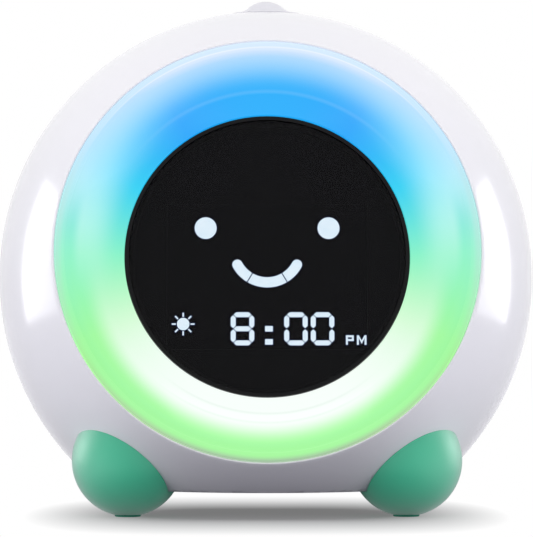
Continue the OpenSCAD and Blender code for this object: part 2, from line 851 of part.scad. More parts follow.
// A button cap that runs in the back wall and reaches down to its switch
module function_button(i) {
    distance = norm([button_x(i), button_z(i)]);
    top_y = back_at(distance, 0) + button_proud;
    flange_y = back_at(distance + button_flange_r, wall) - run_gap;
    foot_y = tact_top_y + button_travel + stem_gap;
    color("#DCDCE4") at_body() translate([button_x(i), 0, button_z(i)]) to_back() difference() {
        union() {
            disc(button_r, flange_y - button_flange_t, top_y);
            disc(button_flange_r, flange_y - button_flange_t, flange_y);
            disc(1.9, foot_y, flange_y);
        }
        disc(plunger_r + fit_gap, tact_top_y, tact_top_y + plunger_h + button_travel + stem_gap);
    }
}

module light_button() { function_button(0); }
module brightness_button() { function_button(1); }
module sound_button() { function_button(2); }
module volume_down_button() { function_button(3); }
module volume_up_button() { function_button(4); }
module alarm_button() { function_button(5); }

module function_switches() {
    color(plain_black) at_body() for (i = [0:5])
        translate([button_x(i), button_board_y, button_z(i)]) to_back() tact_switch();
}

module button_boards() {
    color(board_green) at_body() for (s = [-1, 1])
        translate([s * button_column, button_board_y - board_t, speaker_z]) to_back() difference() {
            block(button_board_w, button_board_h, 0, board_t);
            for (u = [-1, 1]) translate([0, u * button_pitch / 2, 0]) disc(screw_r, -cut, board_t + cut);
        }
}

module button_board_screws() {
    color(steel_grey) at_body() for (s = [-1, 1], u = [-1, 1])
        translate([s * button_column, button_board_y - board_t, speaker_z + u * button_pitch / 2])
            to_back() screw(7, screw_r - 2 * fit_gap, 1.7);
}

module lock_switch_knob() {
    reach_y = back_at(norm([lock_x, lock_z]), 0) + 1.4;
    rest_x = lock_x - lock_travel / 2;
    color("#DCDCE4") at_body() translate([rest_x, 0, lock_z]) difference() {
        back_plate(lock_knob_w, lock_knob_h, 0.5, power_board_back_y + stem_gap, reach_y);
        for (k = [-1:1]) translate([k * 1.2 - 0.25, reach_y - 0.4, -lock_knob_h])
            cube([0.5, cut, 2 * lock_knob_h]);
    }
}

module lock_switch_case() {
    color(steel_grey) at_body()
        translate([lock_x - lock_case_w / 2, power_board_back_y - 6, power_board_z])
            cube([lock_case_w, 6, lock_case_h]);
}

// ---- Speaker -------------------------------------------------------------------------------

module at_speaker() {
    at_body() translate([0, back_at(speaker_z + speaker_r, wall) - stem_gap, speaker_z]) rotate([90, 0, 0])
        children();
}

module speaker_frame() {
    color(steel_grey) at_speaker() rotate_extrude()
        polygon([[speaker_r - 2.6, 0], [speaker_r, 0], [speaker_r, 1.4], [speaker_r - 2, 1.4], [10.4, 6],
            [10.4, 7], [6, 7], [6, 6], [9.4, 6], [speaker_r - 2.6, 1.2]]);
}

module speaker_cone() {
    color("#35353A") at_speaker() rotate_extrude()
        polygon([[0, 3.6], [3.5, 3.6], [speaker_r - 3, 0.4], [speaker_r - 2.8, 0.9], [4, 4.6], [0, 4.6]]);
}

module speaker_magnet() {
    color("#55555A") at_speaker() disc(9, 7, 12);
}

// ---- Power ---------------------------------------------------------------------------------

module battery_cells() {
    cell_y = inner_back_y - tray_depth + cell_d / 2 + 0.3;
    color("#3C5A8C") at_body() for (k = [-1:1])
        translate([0, cell_y, battery_z + k * (cell_d + cell_gap)]) rotate([0, (k == 0 ? -90 : 90), 0]) {
            disc(cell_d / 2, -cell_len / 2, cell_len / 2 - 1);
            disc(1.9, cell_len / 2 - 1, cell_len / 2);
        }
}

module battery_contacts() {
    cell_y = inner_back_y - tray_depth + cell_d / 2 + 0.3;
    plate_x = tray_inner_w / 2 - 0.5;
    color(steel_grey) at_body() for (k = [-1:1], s = [-1, 1])
        translate([s * plate_x, cell_y, battery_z + k * (cell_d + cell_gap)]) {
            cube([0.6, cell_d - 2, cell_d - 2], center = true);
            rotate([0, -s * 90, 0]) disc(2.6, 0.3, (tray_inner_w - cell_len) / 2 - 0.6);
        }
}

module power_board() {
    color(board_green) at_body() difference() {
        translate([-power_board_w / 2, power_board_front_y, power_board_z - board_t])
            cube([power_board_w, power_board_back_y - power_board_front_y, board_t]);
        for (s = [-1, 1]) translate([s * power_post_x, power_post_y, 0])
            disc(screw_r + fit_gap, power_board_z - board_t - cut, power_board_z + cut);
    }
}

// The socket that a power lead goes into: an open metal shell with a tongue
module power_inlet() {
    mouth_y = back_at(norm([inlet_x, lock_z]), 0) - 0.6;
    color(steel_grey) at_body() translate([inlet_x, 0, lock_z]) {
        difference() {
            back_plate(inlet_w, inlet_h, inlet_h / 2 - 0.05, power_board_back_y - 4, mouth_y);
            back_plate(inlet_w - 0.7, inlet_h - 0.7, inlet_h / 2 - 0.4,
                power_board_back_y - 3, mouth_y + cut);
        }
        translate([-3.3, power_board_back_y - 3.5, -0.35]) cube([6.6, 6.5, 0.7]);
    }
}

module power_board_screws() {
    color(steel_grey) at_body() for (s = [-1, 1])
        translate([s * power_post_x, power_post_y, power_board_z])
            mirror([0, 0, 1]) screw(6, screw_r - fit_gap);
}

// ---- Feet ----------------------------------------------------------------------------------

// A ball foot that is hollowed to the body and cut flat for its pad
module foot(place, r) {
    color(foot_green) at_body() difference() {
        translate(place) sphere(r);
        body_solid(-foot_gap);
        translate([place[0], place[1], 0]) {
            disc(r, table_z - r, table_z + foot_flat);
            disc(pad_r + foot_gap, table_z, table_z + pad_t);
            disc(screw_r - fit_gap, foot_boss_top_z - foot_screw_len - 0.5, 0);
        }
    }
}

module front_left_foot() { foot([-front_foot[0], front_foot[1], front_foot[2]], front_foot_r); }
module front_right_foot() { foot(front_foot, front_foot_r); }
module rear_left_foot() { foot([-rear_foot_x, rear_foot_y, table_z + rear_foot_r], rear_foot_r); }
module rear_right_foot() { foot([rear_foot_x, rear_foot_y, table_z + rear_foot_r], rear_foot_r); }

module at_feet() {
    for (s = [-1, 1]) {
        translate([s * front_foot[0], front_foot[1], 0]) children();
        translate([s * rear_foot_x, rear_foot_y, 0]) children();
    }
}

module foot_pads() {
    color("#2A2C2E") at_body() at_feet() disc(pad_r, table_z, table_z + pad_t);
}

module foot_screws() {
    color(steel_grey) at_body() at_feet() translate([0, 0, foot_boss_top_z]) mirror([0, 0, 1])
        screw(foot_screw_len, screw_r - fit_gap);
}

front_housing();
rear_housing();
housing_screws();
battery_door();
door_screw();
diffuser_ring();
light_pan();
led_ring_board();
ring_leds();
pan_screws();
display_bezel();
bezel_screws();
display_lens();
lens_gasket();
lcd_glass();
lcd_face_segments();
lcd_time_segments();
lcd_frame();
lcd_backlight();
main_board();
main_board_parts();
board_screws();
ribbon_cable();
top_button();
top_button_spring();
top_switch();
top_switch_board();
top_bracket();
bracket_screws();
light_button();
brightness_button();
sound_button();
volume_up_button();
volume_down_button();
alarm_button();
function_switches();
button_boards();
button_board_screws();
lock_switch_knob();
lock_switch_case();
speaker_frame();
speaker_cone();
speaker_magnet();
battery_cells();
battery_contacts();
power_board();
power_inlet();
power_board_screws();
front_left_foot();
front_right_foot();
rear_left_foot();
rear_right_foot();
foot_pads();
foot_screws();
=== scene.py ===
# %% [markdown]
# # A kids' alarm clock with a night light
# The clock is a glossy white ball with a tilted, glowing dish in its face, a round black display,
# a milky button on top and green ball feet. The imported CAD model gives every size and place. This
# lesson dresses it: it builds the surfaces that show from finer meshes, gives everything a
# procedural finish, and lights it as a small product shot.

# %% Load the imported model
import json
import math
import bmesh
import bpy
from mathutils import Matrix, Vector

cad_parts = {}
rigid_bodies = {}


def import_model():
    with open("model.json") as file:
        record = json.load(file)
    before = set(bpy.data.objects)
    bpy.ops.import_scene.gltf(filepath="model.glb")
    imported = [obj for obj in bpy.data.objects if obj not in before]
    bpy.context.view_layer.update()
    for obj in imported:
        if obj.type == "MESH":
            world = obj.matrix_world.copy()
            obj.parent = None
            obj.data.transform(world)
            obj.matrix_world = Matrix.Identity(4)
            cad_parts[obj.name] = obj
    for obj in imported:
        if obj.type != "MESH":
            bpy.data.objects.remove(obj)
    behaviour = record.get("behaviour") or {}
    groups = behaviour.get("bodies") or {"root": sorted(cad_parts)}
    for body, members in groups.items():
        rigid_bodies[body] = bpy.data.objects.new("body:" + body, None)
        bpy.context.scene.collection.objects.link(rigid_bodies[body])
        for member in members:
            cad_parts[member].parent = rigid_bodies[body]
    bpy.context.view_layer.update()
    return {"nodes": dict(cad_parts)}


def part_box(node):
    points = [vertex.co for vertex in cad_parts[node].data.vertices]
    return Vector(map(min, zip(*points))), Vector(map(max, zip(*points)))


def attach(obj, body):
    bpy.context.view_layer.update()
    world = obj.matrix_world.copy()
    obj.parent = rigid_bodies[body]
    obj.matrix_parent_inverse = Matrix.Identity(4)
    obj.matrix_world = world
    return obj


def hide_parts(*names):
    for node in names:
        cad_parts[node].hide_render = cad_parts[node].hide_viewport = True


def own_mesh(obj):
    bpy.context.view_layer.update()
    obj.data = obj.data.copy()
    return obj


for old in list(bpy.data.objects):
    bpy.data.objects.remove(old)
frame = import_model()
nodes = frame["nodes"]
MM = 0.001

# %% [markdown]
# ## Where things are
# Two frames carry the whole clock. The body's frame starts at the ball's centre. The face's frame
# starts there too, and is tilted back a little: its Z points out of the face, its Y up the face.
# Profiles are drawn in millimetres in one of these frames and moved to the model's frame once.

# %% The two frames
body_r, barrel, corner_r, belly, split_y = 75.0, 6.0, 38.0, 58.4, 14.0
belly_off_floor = 7.1
face_lean = math.radians(90) - math.radians(8.5)
body_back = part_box("battery_door")[1].y
ball_centre = Vector((0, body_back - (barrel + corner_r) * MM, (belly + belly_off_floor) * MM))
BODY = Matrix.Translation(ball_centre) @ Matrix.Scale(MM, 4)
FACE = (Matrix.Translation(ball_centre) @ Matrix.Rotation(face_lean, 4, "X")
        @ Matrix.Scale(MM, 4))
print("ball's centre in mm:", [round(c / MM, 2) for c in ball_centre])

# %% [markdown]
# ## Camera
# A product picture is taken from far away with a long lens, so that the ball stays round. The
# camera stands a metre off, a little below the ball's middle and a touch to the left.

# %% Place the camera
def placed(name, data):
    """A new object in the scene, made of its data."""
    thing = bpy.data.objects.new(name, data)
    bpy.context.scene.collection.objects.link(thing)
    return thing


def looking(place, towards):
    """The turn of a camera or lamp that stands at place and looks towards a point."""
    return (Vector(towards) - Vector(place)).to_track_quat("-Z", "Y").to_euler()


distance, off_axis, eye_height = 1.0, math.radians(0.7), 0.0555
aim = Vector((0.00022, ball_centre.y, 0.0681))
camera = placed("camera", bpy.data.cameras.new("camera"))
camera.location = aim + distance * Vector((-math.sin(off_axis), -math.cos(off_axis), 0))
camera.location.z = eye_height
camera.rotation_euler = looking(camera.location, aim)
camera.data.sensor_width = 36
camera.data.lens = 237.4
bpy.context.scene.camera = camera
print("camera at", [round(c, 3) for c in camera.location])

# %% [markdown]
# ## Node helpers
# Materials and geometry are both trees of nodes. These helpers add a node, do sums and mix
# colours, so that each recipe below stays short. A value given to them may be a number or the
# output socket of another node, which also tells them in which tree they work.


# %% Helpers for node trees
def is_socket(value):
    return isinstance(value, bpy.types.NodeSocket)


def tree_of(*values):
    """The tree of nodes that the first socket among values belongs to."""
    return next(value.id_data for value in values if is_socket(value))


def add(tree, kind, inputs=None, **settings):
    node = tree.nodes.new(kind)
    for key, value in settings.items():
        setattr(node, key, value)
    for key, value in (inputs or {}).items():
        if is_socket(value):
            tree.links.new(value, node.inputs[key])
        else:
            node.inputs[key].default_value = value
    return node


def sums(operation, *values, clamp=False):
    return add(tree_of(*values), "ShaderNodeMath", dict(enumerate(values)), operation=operation,
               use_clamp=clamp).outputs[0]


def times(a, b):
    return sums("MULTIPLY", a, b)


def linear(value, slope, start, clamp=False):
    """start, and slope more for each 1 of value."""
    return sums("MULTIPLY_ADD", value, slope, start, clamp=clamp)


def step_between(value, low, high):
    """0 below low, 1 above high, and smooth between them."""
    node = add(value.id_data, "ShaderNodeMapRange",
               {"Value": value, "From Min": low, "From Max": high},
               interpolation_type="SMOOTHSTEP")
    return node.outputs["Result"]


def vector(x=0.0, y=0.0, z=0.0):
    return add(tree_of(x, y, z), "ShaderNodeCombineXYZ", {"X": x, "Y": y, "Z": z}).outputs[0]


def parted(value):
    """The outputs X, Y and Z of a vector."""
    return add(value.id_data, "ShaderNodeSeparateXYZ", {0: value}).outputs


def point(tree):
    """The point that is shaded, in its object's own coordinates."""
    return add(tree, "ShaderNodeTexCoord").outputs["Object"]


def mixed(share, a, b, blend="MIX"):
    """a where share is 0, and b where it is 1."""
    node = add(tree_of(share, a, b), "ShaderNodeMix", {0: share, 6: a, 7: b}, data_type="RGBA",
               blend_type=blend)
    return node.outputs[2]


def colour(code):
    """A screen colour code as the linear colour that Blender works with."""
    parts = [int(code[i:i + 2], 16) / 255 for i in (0, 2, 4)]
    return (*[c / 12.92 if c <= 0.04045 else ((c + 0.055) / 1.055) ** 2.4 for c in parts], 1.0)


def ramp(value, stops):
    """The colour at value, from stops of a place and a screen colour code or linear colour."""
    node = add(value.id_data, "ShaderNodeValToRGB", {"Fac": value})
    while len(node.color_ramp.elements) < len(stops):
        node.color_ramp.elements.new(0.5)
    for element, (place, shade) in zip(node.color_ramp.elements, stops):
        element.position = place
        element.color = colour(shade) if isinstance(shade, str) else shade
    return node.outputs["Color"]


WHITE, BLACK = (1.0, 1.0, 1.0, 1.0), (0.0, 0.0, 0.0, 1.0)

# %% [markdown]
# ## Floor, world and lamps
# The picture has a white ground with only a soft shadow under the clock. The floor is really lit,
# and for rays that come from the camera or a reflection it also glows towards its edge, so it
# fades into the white world. Near the clock that glow is lowered in an oval, a painted shadow over
# the real one. For light on its way back to the clock the floor is painted dark under it and pale
# at its front sides, a painted shade on the belly. A wide lamp above, one at each side in front
# and one behind give even light, and only the first of them shows in reflections. The two panels
# beside the clock light nothing: they only draw the two bright bands on the glossy ball.

# %% Floor and world
def seen_directly(tree):
    """1 for rays from the camera, a mirror or glass, 0 for light on its way between surfaces."""
    rays = add(tree, "ShaderNodeLightPath").outputs
    seen = sums("MAXIMUM", rays["Is Camera Ray"], rays["Is Glossy Ray"])
    return sums("MAXIMUM", seen, rays["Is Transmission Ray"])


def emptied(owner):
    """The tree of a material or world, with no node in it."""
    owner.use_nodes = True
    owner.node_tree.nodes.clear()
    return owner.node_tree


finish = {}


def new_finish(name):
    """The empty tree of a new material, which goes into the list of finishes."""
    finish[name] = bpy.data.materials.new(name)
    return emptied(finish[name])


tree = new_finish("floor_paper")
spot = parted(point(tree))
# Painted shadow: edge is 0 in an oval under the clock and 1 outside it. In the oval the floor's
# glow is lowered, so it stays darker than the white around, on top of the real shadow.
shadow_y, half_width, half_depth = -0.016, 0.064, 0.088
across = sums("POWER", times(spot["X"], 1 / half_width), 4.0)
deep = sums("POWER", linear(spot["Y"], 1 / half_depth, -shadow_y / half_depth), 2.0)
edge = linear(sums("SQRT", sums("ADD", across, deep)), 1.25, -0.35, clamp=True)
glow_and_painted_light = times(linear(edge, 0.82, 0.18), seen_directly(tree))
# Painted shade: for light on its way back to the clock the floor is painted dim, which darkens the
# belly, but for a pale patch at each side.
aside = step_between(sums("ABSOLUTE", spot["X"]), 0.035, 0.09)
before = step_between(spot["Y"], 0.0, -0.07)
bounce_painted_shade = mixed(times(aside, before), colour("4A4758"), colour("F2F1FA"))
# In the painted shadow, rays from the camera see grey paper with its real shadow. Outside it they
# see only the glow.
painted_shadow_paper = mixed(edge, colour("7C7C7E"), BLACK)
pictured = add(tree, "ShaderNodeLightPath").outputs["Is Camera Ray"]
paper = add(tree, "ShaderNodeBsdfDiffuse", {"Color": mixed(pictured, bounce_painted_shade, painted_shadow_paper)})
light = add(tree, "ShaderNodeEmission", {"Color": WHITE, "Strength": glow_and_painted_light})
both = add(tree, "ShaderNodeAddShader", {0: paper.outputs[0], 1: light.outputs[0]})
add(tree, "ShaderNodeOutputMaterial", {"Surface": both.outputs[0]})
print("nodes in the floor's tree:", len(tree.nodes))

bpy.ops.mesh.primitive_circle_add(vertices=96, radius=1.5, fill_type="TRIFAN")
floor = bpy.context.object
floor.name = "floor"
floor.data.materials.append(finish["floor_paper"])

world = bpy.data.worlds.new("studio")
bpy.context.scene.world = world
tree = emptied(world)
height = parted(add(tree, "ShaderNodeTexCoord").outputs["Generated"])["Z"]
sky = ramp(linear(height, 0.5, 0.5),
           [(0.0, (0.02, 0.02, 0.024, 1)), (0.42, (0.06, 0.06, 0.07, 1)),
            (0.53, (0.55, 0.55, 0.56, 1)), (1.0, (0.56, 0.56, 0.56, 1))])
air = mixed(seen_directly(tree), sky, WHITE)
back = add(tree, "ShaderNodeBackground", {"Color": air, "Strength": 1.0})
add(tree, "ShaderNodeOutputWorld", {"Surface": back.outputs[0]})


# %% Lamps
def lamp(name, place, towards, width, height, power):
    data = bpy.data.lights.new(name, "AREA")
    data.shape, data.size, data.size_y, data.energy = "RECTANGLE", width, height, power
    thing = placed(name, data)
    thing.location = place
    thing.rotation_euler = looking(place, towards)
    return thing


panel_z = 0.113
lamp("lamp_above", (0, -0.12, 0.62), (0, 0, 0.07), 0.55, 0.45, 1.15)
for side, name in ((-1, "left"), (1, "right")):
    panel = lamp("panel_" + name, (side * 0.382, ball_centre.y + 0.106, panel_z),
                 (0, ball_centre.y - 0.03, panel_z), 0.192, 0.226, 0.75)
    panel.visible_diffuse = False
    fill = lamp("fill_" + name, (side * 0.56, -0.34, 0.06), (0, 0, 0.05), 0.4, 0.36, 1.6)
    fill.visible_glossy = False
behind = lamp("fill_behind", (0, 0.75, 0.16), (0, 0, 0.07), 0.5, 0.4, 2.3)
behind.visible_glossy = behind.visible_camera = False
bpy.context.scene.view_settings.view_transform = "Standard"

# %% [markdown]
# ## Shared effects
# Moulded plastic is never quite even: its tone drifts over centimetres, its gloss over
# millimetres, and under strong light its skin has a faint orange peel. Every moulding uses the
# same group of nodes with its own numbers. Metal pieces share a second group for the fine lines
# that turning or rolling leaves.


# %% Groups: moulded skin and drawn metal
def new_group(kind, name, inputs, outputs):
    """A new tree, and its inputs as they are seen inside it. inputs gives each label its default
    value, or where it has none the name of its type, as outputs does."""
    group = bpy.data.node_groups.new(name, kind)
    for label, value in inputs.items():
        type_name = {float: "Float", int: "Int", tuple: "Color"}.get(type(value), value)
        socket = group.interface.new_socket(label, in_out="INPUT",
                                            socket_type="NodeSocket" + type_name)
        if type_name != value:
            socket.default_value = value
    for label, type_name in outputs.items():
        group.interface.new_socket(label, in_out="OUTPUT", socket_type="NodeSocket" + type_name)
    return group, add(group, "NodeGroupInput").outputs


def noise(where, scale, detail):
    return add(where.id_data, "ShaderNodeTexNoise",
               {"Vector": where, "Scale": scale, "Detail": detail}).outputs["Fac"]


def put_out(tree, given, tone, gloss, gloss_drift, relief, reach, depth):
    """Ends a finish group: it puts out the toned colour, an uneven gloss and a fine relief."""
    toned = add(tree, "ShaderNodeVectorMath", {0: given["Colour"], "Scale": tone},
                operation="SCALE")
    uneven = linear(sums("SUBTRACT", gloss, 0.5), gloss_drift, given["Roughness"], clamp=True)
    bump = add(tree, "ShaderNodeBump", {"Height": relief, "Distance": reach, "Strength": depth})
    add(tree, "NodeGroupOutput", {"Colour": toned.outputs["Vector"], "Roughness": uneven,
                                  "Normal": bump.outputs["Normal"]})


finish_outputs = {"Colour": "Color", "Roughness": "Float", "Normal": "Vector"}
skin, given = new_group(
    "ShaderNodeTree", "moulded_skin",
    {"Colour": WHITE, "Tone drift": 0.03, "Roughness": 0.2, "Gloss drift": 0.05,
     "Grain per metre": 2500.0, "Grain depth": 0.05}, finish_outputs)
spot = point(skin)
lift = sums("SUBTRACT", noise(spot, 28.0, 3.0), 0.5)
put_out(skin, given, linear(lift, given["Tone drift"], 1.0), noise(spot, 260.0, 4.0),
        given["Gloss drift"], noise(spot, given["Grain per metre"], 2.0), 0.0002,
        given["Grain depth"])

drawn, given = new_group(
    "ShaderNodeTree", "drawn_metal",
    {"Colour": WHITE, "Roughness": 0.3, "Lines per metre": 3000.0, "Line depth": 0.1},
    finish_outputs)
spot = point(drawn)
long = add(drawn, "ShaderNodeMapping", {"Vector": spot, "Scale": (1.0, 0.08, 1.0)}).outputs[0]
lines = noise(long, given["Lines per metre"], 3.0)
put_out(drawn, given, linear(noise(spot, 150.0, 3.0), 0.16, 0.92), lines, 0.3, lines, 0.0001,
        given["Line depth"])
print("nodes in the two groups:", len(skin.nodes), len(drawn.nodes))

# %% [markdown]
# The light of the dish follows the face, not the world, so one more group turns a point into its
# distance from the face's axis, in millimetres, and how far up it lies: 1 at the top of the dish,
# 0 at its sides and -1 at the bottom.

# %% Group: place on the face
face_place, given = new_group("ShaderNodeTree", "place_on_the_face", {},
                              {"Radius": "Float", "Upness": "Float"})
turned = add(face_place, "ShaderNodeMapping",
             {"Vector": point(face_place), "Location": ball_centre, "Rotation": (face_lean, 0, 0),
              "Scale": (MM, MM, MM)}, vector_type="TEXTURE")
xyz = parted(turned.outputs[0])
radius = add(face_place, "ShaderNodeVectorMath", {0: vector(xyz["X"], xyz["Y"])},
             operation="LENGTH").outputs["Value"]
upness = sums("DIVIDE", xyz["Y"], sums("MAXIMUM", radius, 0.01))
add(face_place, "NodeGroupOutput", {"Radius": radius, "Upness": upness})
print("groups:", [g.name for g in bpy.data.node_groups])

# %% [markdown]
# ## Finishes
# Each finish is one Principled shader. Numbers that are the same all over go straight into the
# shader, and what varies comes from a group. The list below holds the plastics: body, feet,
# buttons, boards, chips and so on. They differ in colour, gloss and grain, so one recipe makes
# them all.


# %% Finishes of plastic, rubber and card
def spaced(values):
    """Keyword names as the names of sockets, which have spaces."""
    return {key.replace("_", " "): value for key, value in values.items()}


def principled(tree, **values):
    """Ends a finish's tree in a Principled shader with these values."""
    shader = add(tree, "ShaderNodeBsdfPrincipled", spaced(values))
    add(tree, "ShaderNodeOutputMaterial", {"Surface": shader.outputs[0]})


def finish_from(group, name, plain, **values):
    """A new finish whose colour, roughness and normal come from a group."""
    tree = new_finish(name)
    made = add(tree, "ShaderNodeGroup", spaced(values), node_tree=group).outputs
    principled(tree, Base_Color=made["Colour"], Roughness=made["Roughness"],
               Normal=made["Normal"], **plain)


def moulded(name, code, roughness, drift, gloss_drift, grain, depth, **plain):
    finish_from(skin, name, plain, Colour=colour(code), Tone_drift=drift, Roughness=roughness,
                Gloss_drift=gloss_drift, Grain_per_metre=grain, Grain_depth=depth)


moulded("shell", "F2F1F6", 0.16, 0.02, 0.04, 900.0, 0.012, Specular_IOR_Level=0.16,
        Coat_Weight=0.06, Coat_Roughness=0.06)
# The feet glow faintly though they are no lamp: a painted light that lifts their shaded sides.
moulded("foot_plastic", "20AC84", 0.50, 0.05, 0.08, 1500.0, 0.04, Specular_IOR_Level=1.0,
        Sheen_Weight=0.9, Sheen_Roughness=0.5, Emission_Color=colour("2FBF95"),
        Emission_Strength=0.12)
moulded("button_plastic", "E4E4EA", 0.32, 0.03, 0.06, 4000.0, 0.10)
moulded("inner_white", "F4F4F2", 0.45, 0.03, 0.08, 3000.0, 0.10)
moulded("black_plastic", "0B0B0D", 0.30, 0.20, 0.08, 3500.0, 0.05, Specular_IOR_Level=0.15)
moulded("gasket", "1B1B1C", 0.80, 0.20, 0.10, 6000.0, 0.30)
moulded("pad_rubber", "35957B", 0.78, 0.15, 0.12, 5000.0, 0.35)
moulded("chip_black", "1C1D20", 0.50, 0.20, 0.10, 6000.0, 0.20)
moulded("ribbon", "D9DCE2", 0.45, 0.05, 0.08, 3000.0, 0.10)
moulded("speaker_paper", "26262A", 0.85, 0.20, 0.10, 5000.0, 0.50)
moulded("cell_sleeve", "3F6FB5", 0.35, 0.06, 0.08, 2000.0, 0.05, Coat_Weight=0.3)
moulded("circuit_board", "1F6B45", 0.38, 0.25, 0.12, 1400.0, 0.20, Coat_Weight=0.4)
moulded("lamp", "F6F3D8", 0.30, 0.05, 0.05, 5000.0, 0.05)
moulded("milky_button", "E3E2E9", 0.30, 0.02, 0.05, 1500.0, 0.02, Specular_IOR_Level=0.2)
moulded("printed_mark", "8D8F9A", 0.45, 0.05, 0.05, 4000.0, 0.05)
moulded("dark_panel", "0B0B0D", 0.35, 0.20, 0.08, 3000.0, 0.04, Specular_IOR_Level=0.06)
print("plastic finishes:", len(finish))

# %% [markdown]
# Metals keep a plain full Metallic and take their lines from the drawn-metal group.


# %% Finishes of metal
def metal(name, code, roughness, lines, depth):
    finish_from(drawn, name, {"Metallic": 1.0}, Colour=colour(code), Roughness=roughness,
                Lines_per_metre=lines, Line_depth=depth)


metal("screw_steel", "B9BBC0", 0.30, 2600.0, 0.12)
metal("contact_metal", "C9C6BE", 0.25, 2000.0, 0.08)
metal("speaker_steel", "8C8E93", 0.35, 2400.0, 0.10)
metal("magnet", "55575C", 0.45, 1800.0, 0.15)
print("finishes with the metals:", len(finish))

# %% [markdown]
# ## The glowing dish
# The dish is milky plastic with small lamps behind it: blue above, mint at the sides and green
# below. Close to the display the green washes out to white, partly the lamps' glare and partly
# painted light from above, and above the blue pales towards the lip in a painted highlight. The
# glow is worked out from the place on the face. Thin bright arcs on it are painted highlights, and
# the surface also keeps a glossy coat that reflects the studio.

# %% Finish: milky dish
tree = new_finish("milky")
radius, upness = add(tree, "ShaderNodeGroup", node_tree=face_place).outputs


def climb(low, high):
    """0 to 1 as a place on the dish goes up from low to high."""
    return step_between(upness, low, high)


def spread(low, high):
    """0 to 1 as a place on the dish goes out from low to high, in millimetres."""
    return step_between(radius, low, high)


def thin_arc(middle, half_width):
    """1 on a thin ring of the dish at a distance of middle from the face's axis."""
    off_ring = sums("ABSOLUTE", sums("SUBTRACT", radius, middle))
    return sums("SUBTRACT", 1.0, step_between(off_ring, 0.0, half_width))


# The colour of the lamps, and a pale veil over its blue half.
height = linear(upness, 0.5, 0.5)
hue = ramp(height, [(0.0, "8FF882"), (0.28, "90F78C"), (0.50, "6CF0BE"), (0.73, "28CFF2"),
                    (0.92, "0FA4F8"), (1.0, "1CAEFA")])
veil = spread(linear(climb(0.6, 1.0), 4.0, 40.0), linear(climb(0.2, 1.0), 6.0, 49.0))
veil_end = times(spread(50.5, 53.5), climb(0.4, 0.1))
veil = times(sums("SUBTRACT", veil, veil_end, clamp=True), times(climb(-0.3, 0.2), 0.76))
veil_tone = ramp(upness, [(0.0, "B8FADF"), (0.25, "B2F5F2"), (0.5, "9AE7FF"),
                          (0.75, "84D8FF"), (1.0, "80D6FF")])
hue = mixed(veil, hue, veil_tone)

# A painted highlight pales it towards the lip above. Round the display below it pales too, partly
# the lamps' glare and partly painted light from above.
painted_highlight_above = times(spread(46.5, 60.0), linear(climb(0.3, 1.0), 0.38, 0.48))
painted_highlight_top = times(spread(51.0, 56.2), climb(0.5, 0.95))
painted_highlight_above = sums("MAXIMUM", painted_highlight_above, times(painted_highlight_top, 0.95))
glare_and_painted_light_below = sums("SUBTRACT", 0.97, times(climb(-0.95, 0.1), 0.72))
fading = sums("SUBTRACT", 1.0, times(spread(45.5, 52.0), 0.84))
glare_and_painted_highlight = add(tree, "ShaderNodeMix", {0: climb(-0.6, 0.5), 2: times(glare_and_painted_light_below, fading),
                                   3: painted_highlight_above}, data_type="FLOAT").outputs[0]
pale_tone = mixed(climb(-0.2, 0.6), colour("F8FDFB"), colour("E2ECFF"))
glow_and_painted_light = mixed(glare_and_painted_highlight, hue, pale_tone)

# The lip has a tone of its own. Thin arcs are painted along the edges: a white one at the lip and a
# faint one on the dish above, as painted highlights, and two faint grey-green ones low down.
lip = spread(linear(sums("ABSOLUTE", upness), 0.5, 55.0), linear(upness, -0.8, 56.9))
lip_tone = ramp(height, [(0.0, "A3B8A2"), (0.08, "ABCDA0"), (0.25, "A3F096"),
                         (0.5, "A9EAD4"), (0.75, "C1E7FC"), (1.0, "D6EAFC")])
glow_and_painted_light = mixed(lip, glow_and_painted_light, lip_tone)
for middle, half_width, low, high, strength, code in (
        (55.8, 0.30, 0.45, 0.95, 0.50, "F6FBFF"), (45.1, 0.8, 0.50, 0.95, 0.10, "B9ECFF"),
        (43.4, 0.6, -0.7, -0.97, 0.16, "A9C9B4"), (46.0, 0.6, -0.7, -0.97, 0.16, "A9C9B4")):
    line = times(thin_arc(middle, half_width), climb(low, high))
    glow_and_painted_light = mixed(times(line, strength), glow_and_painted_light, colour(code))
base = mixed(1.0, glow_and_painted_light, (0.10, 0.10, 0.10, 1.0), "MULTIPLY")
principled(tree, Base_Color=base, Emission_Color=glow_and_painted_light, Emission_Strength=0.92, Roughness=0.25,
           Specular_IOR_Level=0.25, Coat_Weight=0.25, Coat_Roughness=0.08)
print("nodes in the milky finish:", len(tree.nodes))

# %% [markdown]
# ## The display
# The lens is a smoked sheet: nearly black, and clear enough for lit segments to show through it.
# The segments glow pale blue.

# %% Finishes: smoked lens and lit segments
moulded("smoked_lens", "0C0C0F", 0.10, 0.15, 0.04, 1200.0, 0.01, Specular_IOR_Level=0.12,
        Alpha=0.55)
moulded("segment_edge", "1B3A7A", 0.40, 0.10, 0.05, 3000.0, 0.03,
        Emission_Color=colour("2A56B8"), Emission_Strength=0.5)
tree = new_finish("lit_segment")
tint = mixed(noise(point(tree), 420.0, 2.0), colour("D6ECFC"), colour("E9F6FE"))
dim = mixed(1.0, tint, (0.3, 0.3, 0.3, 1.0), "MULTIPLY")
principled(tree, Base_Color=dim, Emission_Color=tint, Emission_Strength=4.7, Roughness=0.4)

# %% Dress the CAD nodes
for node in nodes.values():
    for slot in node.material_slots:
        slot.material = finish[slot.material.name.split(".")[0]]
print("finishes:", len(finish))

# %% [markdown]
# ## Turned shapes
# Most of the clock is round about an axis, so its profiles are drawn as a half outline, corners
# are rounded as a mould would round them, and the outline is spun into a mesh.


